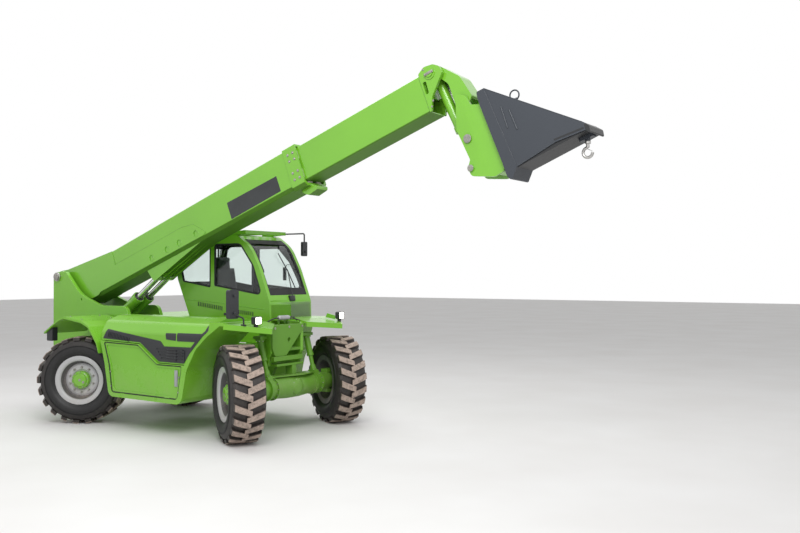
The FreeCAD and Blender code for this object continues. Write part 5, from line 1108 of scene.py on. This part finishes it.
def fit_cab_inside():
    """The mirror, wheel grip, levers, stalks, screen, pedals and mat."""
    mirror = merge(eased_block(0.006, (0.018, 0.11, 0.20), (0.560, 1.02, 2.16), about("Z", 0.3)),
                   pipe([(0.60, 1.12, 2.30), (0.565, 1.06, 2.30), (0.560, 1.03, 2.24)], 0.005))
    on_machine("inside_mirror", mirror, "trim", "cab_frame")
    centre = Vector((0.395, CAB_MID, 1.850))
    ring = [(0.172, 0.0), (0.177, 0.0145), (0.190, 0.0190), (0.203, 0.0145),
            (0.208, 0.0), (0.203, -0.0145), (0.190, -0.019), (0.177, -0.0145)]
    grip = moved(lathe(ring, 64, True), Matrix.Translation(centre) @ turned_to("y", (-0.5, 0.0, 0.866)))
    knob = round_bar(centre + Vector((0.09, -0.165, 0.05)), centre + Vector((0.065, -0.165, 0.10)), 0.021, 24,
                     0.010)
    on_machine("steering_wheel_grip", merge(grip, knob), "rubber", "steering_console")
    levers = []
    y = CAB_MID - 0.285
    for x in (0.035, 0.085):
        levers.append(pipe([(x, y, 1.492), (x + 0.01, y, 1.58), (x + 0.03, y, 1.63)], 0.007))
        knob = rounded_lathe([(0.0, 0.0), (0.020, 0.0, 0.006), (0.026, 0.05, 0.012), (0.018, 0.095, 0.012),
                              (0.0, 0.10)], 20, closed=False)
        levers.append(moved(knob, Matrix.Translation((x + 0.03, y, 1.615)) @ about("X", math.pi / 2)))
    on_machine("control_levers", merge(*levers), "trim", "seat_base")
    stalks = [pipe([(0.46, CAB_MID + side * 0.03, 1.76), (0.45, CAB_MID + side * 0.16, 1.80),
                    (0.44, CAB_MID + side * 0.22, 1.82)], 0.008) for side in SIDES]
    on_machine("column_stalks", merge(*stalks), "trim", "steering_console")
    lean = about("Y", -0.2)
    screen = merge(eased_block(0.006, (0.030, 0.19, 0.13), (0.640, 0.475, 1.900), lean),
                   marked(eased_block(0.001, (0.004, 0.165, 0.105), (0.622, 0.475, 1.9035), lean), 1),
                   pipe([(0.66, 0.50, 1.73), (0.66, 0.48, 1.84), (0.645, 0.475, 1.88)], 0.010))
    on_machine("dash_screen", screen, ["trim", "gloss_trim"], "steering_console")
    pedals = []
    for y in (CAB_MID - 0.12, CAB_MID + 0.12):
        pedals.append(eased_block(0.003, (0.010, 0.075, 0.13), (0.500, y, 1.290), about("Y", 0.5)))
        pedals.append(pipe([(0.51, y, 1.30), (0.56, y, 1.40), (0.60, y, 1.42)], 0.008))
    on_machine("pedals", merge(*pedals), "trim", "steering_console")
    mat = plate(rectangle(-0.56, 0.30, 0.66, 1.15, 0.03), "z", 1.2055, 1.2125)
    on_machine("floor_mat", mat, "rubber", "cab_frame")


def fit_entry():
    """The grab rail, the door's handle, and the tank's step treads and filler cap."""
    rail = [(-0.235, y, z) for y, z in ((1.205, 1.38), (1.238, 1.42), (1.238, 2.02), (1.205, 2.06))]
    on_machine("entry_grab_rail", pipe(rail, 0.011), "trim", "cab_frame")
    handle = merge(eased_block(0.006, (0.15, 0.020, 0.034), (0.670, 1.205, 1.851)),
                   round_bar((0.615, 1.193, 1.851), (0.615, 1.220, 1.851), 0.013, 20, 0.003))
    on_machine("cab_door_handle", handle, "trim", "cab_door")
    treads = [block((0.560, 0.006, 0.004), (0.26, y - 0.085 + 0.021 * k, z))
              for y, z in ((1.092, 0.5165), (1.122, 0.8065)) for k in range(9)]
    on_machine("step_treads", merge(*treads), "dark", "left_tank")
    cap = merge(round_bar((-0.45, 1.218, 0.86), (-0.45, 1.236, 0.86), 0.055, 40, 0.006),
                eased_block(0.004, (0.020, 0.012, 0.085), (-0.45, 1.240, 0.86)))
    on_machine("tank_cap", cap, "trim", "left_tank")


class TELEHANDLER_OT_cab_fittings(bpy.types.Operator):
    """Fits the cab's vents, wiper, mirror, controls, mat, rail and handle, and the tank's treads and cap"""
    bl_idname = "telehandler.cab_fittings"
    bl_label = "Cab fittings"

    def execute(self, context):
        fit_cab_outside()
        fit_cab_inside()
        fit_entry()
        return {"FINISHED"}


# Body: service door, louvres, mirrors, lamps and front end

class TELEHANDLER_OT_body_fittings(bpy.types.Operator):
    """Fits the service door's handle and seal, the hood's slots, the grille's blades and the body's bolts"""
    bl_idname = "telehandler.body_fittings"
    bl_label = "Body fittings"

    def execute(self, context):
        handle = merge(eased_block(0.004, (0.060, 0.010, 0.215), (0.592, -1.2105, 0.782)),
                       eased_block(0.0015, (0.034, 0.004, 0.185), (0.592, -1.2170, 0.782)))
        on_machine("service_door_handle", handle, ["silver_trim", "trim"], "service_door")
        fins = [eased_block(0.0015, (0.007, 0.010, 0.085 - 0.002 * k),
                            (-0.760 + 0.030 * k, -1.2035, 1.318 - 0.0045 * k), about("Y", 0.30))
                for k in range(15)]
        fins += [eased_block(0.003, (0.30, 0.010, 0.012), (0.560, -1.2060, z), about("Y", 0.03))
                 for z in (1.160, 1.122, 1.084, 1.046)]
        on_machine("grille_fins", merge(*fins), "gloss_trim", "hood_grille")
        posts = [block((0.012, 0.008, 0.150), (x, -1.2055, 1.075)) for x in (0.578, 0.736)]
        on_machine("grille_posts", merge(*posts), "trim", "hood_grille")
        slots = [block((0.212, 0.026, 0.006), (x, -0.620, 1.566)) for x in (-0.405, 0.055, 0.535)]
        on_machine("hood_slot_meshes", merge(*slots), "trim", "engine_hood")
        bolts = [bolt(0.010, 0.008, (x, y, z), (0.10, 0, 1))
                 for x, z in ((-1.70, 1.5335), (-1.45, 1.4985)) for y in (-1.12, -0.60)]
        bolts += [bolt(0.008, 0.006, (x, -1.2195, z), (0, -1, 0))
                  for x, z in ((-0.690, 0.60), (-0.700, 0.80), (0.640, 0.60), (0.655, 0.80))]
        on_machine("body_bolts", merge(*bolts), "bolt", "side_body")
        edge = ((-0.838, 1.205), (-0.735, 0.905), (-0.672, 0.520), (0.612, 0.508), (0.690, 0.905),
                (0.690, 0.944), (0.229, 0.946), (-0.143, 1.189), (-0.838, 1.205))
        seal = pipe([(x, -1.2105, z) for x, z in edge], 0.0075)
        on_machine("service_door_seal", seal, "rubber", "service_door")
        return {"FINISHED"}


class TELEHANDLER_OT_lamps(bpy.types.Operator):
    """Fits the headlamps' lit lenses and bezels, the tail lamps' lenses and the mirrors' glass"""
    bl_idname = "telehandler.lamps"
    bl_label = "Lamps and mirrors"

    def execute(self, context):
        lenses, bezels = [], []
        for y in (-0.888, 0.888):
            lens = rectangle(y - 0.055, 1.517, y + 0.055, 1.607, 0.02)
            lenses.append(plate(lens, "x", 1.7385, 1.7425))
            edge = rectangle(y - 0.062, 1.510, y + 0.062, 1.614, 0.022)
            bezels.append(strip(edge, "x", 1.7380, 1.7460, 0.008))
            bezels += [bolt(0.007, 0.006, (1.70, y + side * 0.0625, 1.562), (0, side, 0)) for side in SIDES]
        on_machine("headlamp_lenses", merge(*lenses), "lens", "lamps", 0.001)
        on_machine("headlamp_bezels", merge(*bezels), "trim", "lamps")
        for name, finish, low, high in (("tail_lenses", "red_lens", 1.178, 1.232),
                                        ("indicator_lenses", "amber_lens", 1.238, 1.286)):
            lenses = [plate(rectangle(y - 0.038, low, y + 0.038, high, 0.006), "x", -2.1535, -2.1495)
                      for y in (-1.150, 1.150)]
            on_machine(name, merge(*lenses), finish, "lamps", 0.001)
        faces = [plate(rectangle(-1.206, 1.600, -1.054, 1.950, 0.025), "x", 1.4875, 1.4905),
                 plate(rectangle(1.128, 2.438, 1.222, 2.642, 0.016), "x", 0.7945, 0.7965)]
        on_machine("mirror_faces", merge(*faces), "mirror", "mirrors")
        clips = [eased_block(0.006, (0.030, 0.040, 0.030), (1.553, -1.130, z)) for z in (1.66, 1.88)]
        clips.append(eased_block(0.006, (0.030, 0.036, 0.028), (0.838, 1.180, 2.50)))
        on_machine("mirror_clips", merge(*clips), "trim", "mirrors")
        return {"FINISHED"}


AXLE_X = 1.540
AXLE_Z = 0.6275
STRUT_Y = 0.490
KING_PIN_Y = 0.982


def fit_axle(node, way):
    """An axle's flange bolts, its king pins' caps, and the domed case of the drive in its middle."""
    x = AXLE_X * way
    bolts = []
    for side in SIDES:
        for dx, dz in around(12, 0.143):
            for y, out in ((0.4250, side), (0.5350, -side)):
                bolts.append(bolt(0.0085, 0.009, (x + dx, side * y, AXLE_Z + dz), (0, out, 0), False))
        for dx in (-0.034, 0.034):
            for dy in (-0.035, 0.035):
                spot = (x + dx, side * STRUT_Y + dy, AXLE_Z + 0.1760)
                bolts.append(bolt(0.006, 0.007, spot, (0, 0, 1), False))
        y = side * KING_PIN_Y
        for up in SIDES:
            foot, top = AXLE_Z + up * 0.164, AXLE_Z + up * 0.186
            bolts.append(round_bar((x, y, foot), (x, y, top), 0.050, 32, 0.004))
            bolts += [bolt(0.006, 0.006, (x + dx, y + dy, top), (0, 0, up), False)
                      for dx, dy in around(4, 0.036, 0.5)]
    on_machine(node + "_bolts", merge(*bolts), "bolt", node)
    profile = [(0.0, 0.0), (0.118, 0.0), (0.116, 0.026, 0.012), (0.080, 0.062, 0.030), (0.0, 0.070)]
    place = Matrix.Translation((x + way * 0.118, -0.03, AXLE_Z)) @ about("Z", -way * math.pi / 2)
    dome = moved(rounded_lathe(profile, 48, closed=False), place)
    ring = [bolt(0.0075, 0.008, (x + way * 0.146, -0.03 + dy, AXLE_Z + dz), (way, 0, 0), False)
            for dy, dz in around(10, 0.105)]
    on_machine(node + "_case", merge(dome, marked(merge(*ring), 1)), ["under", "bolt"], node)


def fit_struts():
    """The bolts of the suspension struts' upper and lower flanges."""
    bolts = []
    for end in SIDES:
        for side in SIDES:
            y = side * STRUT_Y
            bolts += [bolt(0.008, 0.009, (end * 1.415 + dx, y + dy, 1.2677), (0, 0, -1), False)
                      for dx, dy in around(6, 0.050)]
            bolts += [bolt(0.006, 0.007, (end * AXLE_X + dx, y + dy, 0.8258), (0, 0, 1), False)
                      for dx, dy in around(3, 0.041)]
    on_machine("strut_bolts", merge(*bolts), "bolt", "axle_struts")


def fit_nose():
    """The grey accumulator on the nose with its clamps and pipes, a lamp's gusset and the nose's bolts."""
    nose = "chassis_crossmembers"
    tank = rounded_lathe([(0.0, -0.115), (0.024, -0.112, 0.010), (0.033, -0.095, 0.014),
                          (0.033, 0.095, 0.014), (0.024, 0.112, 0.010), (0.0, 0.115)], 40, closed=False)
    tank = moved(tank, Matrix.Translation((1.500, -0.107, 1.562)))
    on_machine("nose_accumulator", tank, "silver_trim", nose)
    clamps = []
    for y in (-0.17, -0.045):
        clamps.append(eased_block(0.003, (0.084, 0.022, 0.012), (1.500, y, 1.527)))
        clamps.append(eased_block(0.003, (0.020, 0.022, 0.075), (1.462, y, 1.495)))
    clamps.append(block((0.11, 0.49, 0.012), (1.475, -0.080, 1.462)))
    on_machine("accumulator_clamps", merge(*clamps), "under", nose)
    right = [(1.50, -0.222, 1.562), (1.50, -0.275, 1.562), (1.47, -0.34, 1.540), (1.43, -0.38, 1.505)]
    left = [(1.50, 0.008, 1.562), (1.50, 0.07, 1.566), (1.48, 0.14, 1.552), (1.46, 0.22, 1.515)]
    thin = [(1.52, 0.0, 1.545), (1.54, 0.09, 1.540), (1.54, 0.18, 1.520), (1.50, 0.24, 1.505)]
    pipes = [pipe(run, radius) for run, radius in ((right, 0.009), (left, 0.009), (thin, 0.007))]
    on_machine("nose_pipes", merge(*pipes), "rubber", nose)
    gusset = [(1.470, 1.530), (1.640, 1.505), (1.640, 1.560, 0.01), (1.500, 1.590, 0.01)]
    on_machine("lamp_gusset", plate(gusset, "y", 0.862, 0.872), "body", "fenders", 0.002)
    bolts = [bolt(0.012, 0.010, (1.5752, y, z), (1, 0, 0))
             for y, z in ((-0.37, 1.43), (-0.08, 1.44), (0.20, 1.44))]
    on_machine("nose_bolts", merge(*bolts), "bolt", nose)


class TELEHANDLER_OT_front_end(bpy.types.Operator):
    """Fits the axles' and struts' bolts, and the nose's accumulator, pipes and bolts"""
    bl_idname = "telehandler.front_end"
    bl_label = "Axles and front end"

    def execute(self, context):
        fit_axle("front_axle", 1.0)
        fit_axle("rear_axle", -1.0)
        fit_struts()
        fit_nose()
        return {"FINISHED"}


# Boom, coupler and jib

def side_line(points, side, level, radius):
    """A weld bead along a run of (u, v) on one side of the boom."""
    return pipe([(u, side * level, v) for u, v in points], radius, bend=3)


COLLAR_U = 4.879
HEAD_U = 7.136
# the tilt cylinder's upper and lower pins, and the coupler's own pin, as (u, v)
TILT_PIN = (7.292, -0.085)
TILT_LOW_PIN = (7.419, -1.400)
COUPLER_PIN = (7.500, -1.057)


def fit_stage_one():
    """The blank panel, welds, socket rims and collar bolts of the boom's outer stage."""
    edge = [(u, v, 0.006) for u, v in ((3.706, -0.273), (4.666, -0.287), (4.673, -0.508), (3.711, -0.522))]
    on_stage("boom_blank_panel", plate(edge, "y", -0.2216, -0.2196), "gloss_trim", "boom_outer", 0.0006)
    wall = 0.2215
    doubler = [(0.72, -0.252), (2.74, -0.259), (2.99, -0.303), (3.185, -0.503), (3.12, -0.530),
               (0.72, -0.530)]
    lug = [(1.215, -0.036), (1.222, -0.235), (0.72, -0.545), (0.53, -0.562)]
    collar = [(COLLAR_U, -0.06), (COLLAR_U, -0.55)]
    beads = [side_line(run, side, wall, radius) for side in SIDES
             for run, radius in ((doubler, 0.0042), (lug, 0.0042), (collar, 0.0045))]
    beads.append(pipe([(COLLAR_U, -0.19, -0.0285), (COLLAR_U, 0.19, -0.0285)], 0.0045))
    # the weld beads take the darker underframe paint, a painted shadow line along each seam
    on_stage("boom_weld_beads", merge(*beads), "under", "boom_outer")
    profile = [(0.044, 0.0, 0.001), (0.0515, 0.0, 0.001), (0.0515, 0.0095, 0.002), (0.044, 0.0095, 0.002)]
    sockets = [moved(rounded_lathe(profile, 40), Matrix.Translation((u, y, -0.450)) @ about("X", turn))
               for u in (2.016, 2.367, 2.634, 2.997) for y, turn in ((-0.2205, math.pi), (0.2205, 0.0))]
    on_stage("boom_socket_rims", merge(*sockets), "boom", "boom_outer")
    bolts = [bolt(0.013, 0.011, (u, side * 0.2340, v), (0, side, 0))
             for side in SIDES for v in (-0.115, -0.205, -0.375, -0.470) for u in (4.955, 5.045)]
    bolts += [bolt(0.011, 0.009, (5.0, y, -0.012), (0, 0, 1)) for y in (-0.11, -0.05, 0.05, 0.11)]
    on_stage("collar_bolts", merge(*bolts), "bolt", "boom_outer")


def fit_head():
    """The pin keepers, bolts and welds of the goose-neck head."""
    u0, v0 = TILT_PIN
    head, lines = [], []
    for side in SIDES:
        face, out = side * 0.2050, (0, side, 0)
        head.append(eased_block(0.002, (0.130, 0.008, 0.034), (u0, face + side * 0.003, v0)))
        head += [bolt(0.009, 0.008, (u0 + du, face + side * 0.007, v0), out, False) for du in (-0.050, 0.050)]
        head += [bolt(0.009, 0.008, (u, side * 0.1830, v), out)
                 for u, v in ((7.225, -0.420), (7.185, -0.480), (7.225, -0.005))]
        lines.append(side_line([(HEAD_U, -0.062), (HEAD_U, -0.518)], side, 0.1835, 0.004))
        lines.append(side_line([(7.24, -0.36), (7.36, -0.245), (7.455, -0.155)], side, 0.1835, 0.0035))
    lines.append(pipe([(HEAD_U, -0.165, -0.0505), (HEAD_U, 0.165, -0.0505)], 0.004))
    on_stage("head_pin_keepers", merge(*head), "bolt", "boom_inner")
    # the weld beads take the darker underframe paint, a painted shadow line along each seam
    on_stage("head_weld_beads", merge(*lines), "under", "boom_inner")


def fit_coupler():
    """The caps of the coupler's pins, its lock, and the tilt cylinder's gland and pipe."""
    pins = []
    for side in SIDES:
        for (u, v), out, size in ((COUPLER_PIN, 0.2025, 0.052), (TILT_LOW_PIN, 0.2085, 0.040)):
            top = side * (out + 0.010)
            pins.append(round_bar((u, side * out, v), (u, top, v), size, 32, 0.003))
            pins += [bolt(0.007, 0.006, (u + du, top, v + dv), (0, side, 0), False)
                     for du, dv in around(3, size * 0.62)]
    on_stage("coupler_pin_caps", merge(*pins), "bolt", "coupler")
    lock = [eased_block(0.006, (0.06, 0.14, 0.035), (7.735, 0.0, -0.775)),
            round_bar((7.700, -0.10, -1.545), (7.700, 0.10, -1.545), 0.020, 24, 0.003),
            pipe([(7.66, 0.06, -0.90), (7.70, 0.06, -1.00), (7.70, 0.06, -1.35), (7.70, 0.04, -1.50)], 0.009)]
    on_stage("coupler_lock", merge(*lock), "steel", "coupler")
    base = Vector((TILT_PIN[0], 0.0, TILT_PIN[1]))
    way = (Vector((TILT_LOW_PIN[0], 0.0, TILT_LOW_PIN[1])) - base).normalized()
    gland = round_bar(base + way * 0.785, base + way * 0.802, 0.056, 40, 0.004)
    line = pipe([base + way * far + Vector((out, 0.03, 0)) for far, out in
                 ((0.15, 0.062), (0.45, 0.074), (0.74, 0.070))], 0.008)
    on_stage("tilt_cylinder_gland", merge(gland, marked(line, 1)), ["dark", "steel"], "tilt_barrel")


class TELEHANDLER_OT_boom_fittings(bpy.types.Operator):
    """Fits the boom's blank panel, welds, sockets, bolts and pin keepers, and the tilt cylinder's gland"""
    bl_idname = "telehandler.boom_fittings"
    bl_label = "Boom fittings"

    def execute(self, context):
        fit_stage_one()
        fit_head()
        fit_coupler()
        return {"FINISHED"}


LIFT_TIP = (1.914, -0.720)
LIFT_BASE = Vector((-2.650, BOOM_Y, 0.854))


class TELEHANDLER_OT_lift_fittings(bpy.types.Operator):
    """Fits the lift cylinders' glands, rings and pipes, and the caps of the boom's pivot"""
    bl_idname = "telehandler.lift_fittings"
    bl_label = "Lift cylinder fittings"

    def execute(self, context):
        tip = (BOOM @ Vector((LIFT_TIP[0], 0.0, LIFT_TIP[1]))) - SHIFT
        way = Vector((tip.x - LIFT_BASE.x, 0.0, tip.z - LIFT_BASE.z)).normalized()
        up = Vector((-way.z, 0.0, way.x))
        pieces = []
        for side in SIDES:
            start = LIFT_BASE + Vector((0, side * 0.100, 0))
            gland = round_bar(start + way * 1.634, start + way * 1.652, 0.070, 40, 0.005)
            ring = round_bar(start + way * 0.10, start + way * 0.135, 0.0815, 40, 0.002)
            # a pressure pipe in the gap between the two barrels
            run = Vector((0.0, -side * 0.088, 0.0)) + up * 0.052
            port = Vector((0.0, -side * 0.060, 0.0)) + up * 0.036
            line = pipe([start + way * 0.16 + port, start + way * 0.20 + run, start + way * 1.48 + run,
                         start + way * 1.52 + port], 0.010)
            bolts = [bolt(0.006, 0.007, start + way * 1.640 + up * du + Vector((0, dy, 0)), way, False)
                     for du, dy in around(8, 0.078)]
            pieces += [gland, marked(ring, 1), marked(line, 2), marked(merge(*bolts), 3)]
        finishes = ["dark", "boom", "steel", "bolt"]
        on_machine("lift_cylinder_fittings", merge(*pieces), finishes, "lift_barrels")
        caps = []
        for side in SIDES:
            foot, top = side * 0.376, side * 0.388
            caps.append(round_bar((0.0, foot, 0.0), (0.0, top, 0.0), 0.060, 40, 0.004))
            caps += [bolt(0.008, 0.008, (du, top, dv), (0, side, 0), False)
                     for du, dv in around(4, 0.038, 0.5)]
        on_stage("boom_pivot_caps", merge(*caps), "bolt", "chassis_pins")
        return {"FINISHED"}


class TELEHANDLER_OT_jib_fittings(bpy.types.Operator):
    """Fits the jib's ribs, weld lines, slot strips and tip cap, a dark sheet under it as painted shadow, and
    the hook's latch
    """
    bl_idname = "telehandler.jib_fittings"
    bl_label = "Jib fittings"

    def execute(self, context):
        # two pressed ribs, then the weld lines of the back, top and bottom edges, on each cheek
        runs = (([(8.030, -0.900), (8.022, -1.170)], 0.2155, 0.011),
                ([(8.112, -0.985), (8.126, -1.235)], 0.2155, 0.011),
                ([(7.903, -0.640), (7.972, -1.600)], 0.2165, 0.005),
                ([(7.925, -0.625), (8.858, -1.494)], 0.2150, 0.0045),
                ([(7.975, -1.628), (8.500, -1.565), (8.855, -1.589)], 0.2150, 0.0045))
        ribs = [side_line(run, side, wall, radius) for side in SIDES for run, wall, radius in runs]
        on_stage("jib_ribs", merge(*ribs), "jib", "jib", smooth=60.0)
        edge = [(u, v, 0.008) for u, v in ((8.489, -1.528), (8.852, -1.552), (8.850, -1.572), (8.489, -1.548))]
        slots = [plate(edge, "y", low, high) for low, high in ((-0.2172, -0.2150), (0.2150, 0.2172))]
        on_stage("jib_slot_strips", merge(*slots), "dark", "jib")
        # a thin near-black sheet along the jib's bottom, a painted shadow
        under = [(7.975, -1.6355), (8.502, -1.5715), (8.858, -1.5955), (8.858, -1.5985), (8.502, -1.5745),
                 (7.975, -1.6385)]
        on_stage("jib_underside_painted_shadow", plate(under, "y", -0.205, 0.205), "dark", "jib")
        tip = [(8.868, -1.500, 0.02), (8.9165, -1.560, 0.028), (8.9015, -1.650, 0.018), (8.862, -1.594, 0.01)]
        on_stage("jib_tip_cap", plate(tip, "y", -0.2175, 0.2175), "dark", "jib", 0.002)
        boss = rounded_lathe([(0.016, 0.0), (0.026, 0.0, 0.003), (0.026, 0.016, 0.003), (0.016, 0.016)], 32)
        boss = moved(boss, Matrix.Translation((8.150, 0.0, -0.835)) @ about("X", math.pi / 2))
        on_stage("jib_ring_boss", boss, "jib", "jib")
        throat = Vector(MOUNTS["hook_throat"]["pos_m"])
        latch = pipe([throat + Vector((dx, 0.0, dz)) for dx, dz in
                      ((-0.030, 0.052), (0.020, 0.030), (0.050, 0.012))], 0.004)
        finish_piece("hook_safety_latch", latch, "steel", "hook")
        return {"FINISHED"}


class TELEHANDLER_OT_finishes(bpy.types.Operator):
    """Builds the paints, plastics, metals, glass and rubber that the pieces use"""
    bl_idname = "telehandler.finishes"
    bl_label = "Finishes"

    def execute(self, context):
        make_materials(context.scene.telehandler_colours)
        return {"FINISHED"}


# Stage

# the photo's viewpoint, in the machine's own frame: place, heading, upward tilt and focal length per width
CAMERA_PLACE = (9.579, -9.629, 2.164)
CAMERA_HEADING = math.radians(123.004)
CAMERA_TILT = math.radians(0.452)
FOCAL_PER_WIDTH = 906.3 / 800.0
SENSOR_WIDTH = 36.0


def stage_material():
    made, tree, shader = new_material("Studio floor")
    coords = object_coords(tree)
    cloud = noise_of(tree, coords, 0.6, 3.0, 0.5).outputs["Fac"]
    wire(tree, mixed(tree, ramp(tree, cloud, 0.3, 0.7), (0.74, 0.73, 0.72), (0.78, 0.775, 0.77)),
         shader.inputs["Base Color"])
    shader.inputs["Roughness"].default_value = 0.75
    return made


def area_light(name, place, target, size, energy):
    lamp = bpy.data.lights.new(name, "AREA")
    lamp.shape = "RECTANGLE"
    lamp.size, lamp.size_y = size
    lamp.energy = energy
    made = bpy.data.objects.new(name, lamp)
    made.location = place
    made.rotation_euler = (Vector(target) - Vector(place)).to_track_quat("-Z", "Y").to_euler()
    bpy.context.scene.collection.objects.link(made)


class TELEHANDLER_OT_stage(bpy.types.Operator):
    """Lays the floor, sets the lights and the white surround, and places the camera"""
    bl_idname = "telehandler.stage"
    bl_label = "Stage"

    def execute(self, context):
        scene = context.scene
        bm = bmesh.new()
        bmesh.ops.create_grid(bm, x_segments=1, y_segments=1, size=60.0)
        mesh = bpy.data.meshes.new("studio_floor")
        bm.to_mesh(mesh)
        bm.free()
        floor = bpy.data.objects.new("studio_floor", mesh)
        mesh.materials.append(stage_material())
        scene.collection.objects.link(floor)
        world = bpy.data.worlds.new("Studio")
        world.use_nodes = True
        scene.world = world
        tree = world.node_tree
        rays = shader_node(tree, "ShaderNodeLightPath")
        seen = maths(tree, "MAXIMUM", rays.outputs["Is Camera Ray"], rays.outputs["Is Glossy Ray"])
        seen = maths(tree, "MAXIMUM", seen, rays.outputs["Is Transmission Ray"])
        strength = maths(tree, "MULTIPLY_ADD", seen, 0.45, 0.55)
        ground = tree.nodes["Background"]
        ground.inputs["Color"].default_value = (1.0, 1.0, 1.0, 1.0)
        wire(tree, strength, ground.inputs["Strength"])
        area_light("key", at(7.0, -7.0, 9.0), at(0.5, -0.3, 1.5), (6.0, 6.0), 750.0)
        area_light("top", at(-1.0, 1.0, 9.5), at(0.0, 0.0, 1.5), (9.0, 7.0), 420.0)
        camera = bpy.data.cameras.new("camera")
        camera.sensor_fit = "HORIZONTAL"
        camera.sensor_width = SENSOR_WIDTH
        camera.lens = FOCAL_PER_WIDTH * SENSOR_WIDTH
        camera.clip_end = 300.0
        made = bpy.data.objects.new("camera", camera)
        made.location = at(*CAMERA_PLACE)
        made.rotation_euler = (math.pi / 2 + CAMERA_TILT, 0.0, CAMERA_HEADING - math.pi / 2)
        scene.collection.objects.link(made)
        scene.camera = made
        scene.view_settings.view_transform = "Standard"
        return {"FINISHED"}


class TELEHANDLER_PT_panel(bpy.types.Panel):
    """Lists the steps in order, with the sizes and colours that they use"""
    bl_idname = "TELEHANDLER_PT_panel"
    bl_label = "Telehandler"
    bl_space_type = "VIEW_3D"
    bl_region_type = "UI"
    bl_category = "Telehandler"

    def draw(self, context):
        column = self.layout.column()
        for step in STEPS:
            column.operator(step.bl_idname)
        for group in (context.scene.telehandler_sizes, context.scene.telehandler_colours):
            for key in group.bl_rna.properties.keys():
                if key not in ("rna_type", "name"):
                    column.prop(group, key)


STEPS = (TELEHANDLER_OT_finishes, TELEHANDLER_OT_structure, TELEHANDLER_OT_wheels, TELEHANDLER_OT_glazing,
         TELEHANDLER_OT_seat, TELEHANDLER_OT_cab_fittings, TELEHANDLER_OT_body_fittings, TELEHANDLER_OT_lamps,
         TELEHANDLER_OT_front_end, TELEHANDLER_OT_boom_fittings, TELEHANDLER_OT_lift_fittings,
         TELEHANDLER_OT_jib_fittings, TELEHANDLER_OT_stage)
CLASSES = (TelehandlerColours, TelehandlerSizes) + STEPS + (TELEHANDLER_PT_panel,)


def register():
    for cls in CLASSES:
        bpy.utils.register_class(cls)
    bpy.types.Scene.telehandler_colours = bpy.props.PointerProperty(type=TelehandlerColours)
    bpy.types.Scene.telehandler_sizes = bpy.props.PointerProperty(type=TelehandlerSizes)


def unregister():
    del bpy.types.Scene.telehandler_sizes
    del bpy.types.Scene.telehandler_colours
    for cls in reversed(CLASSES):
        bpy.utils.unregister_class(cls)


def main():
    register()
    for step in STEPS:
        name = step.bl_idname.split(".")[1]
        getattr(bpy.ops.telehandler, name)()


if __name__ == "__main__":
    main()
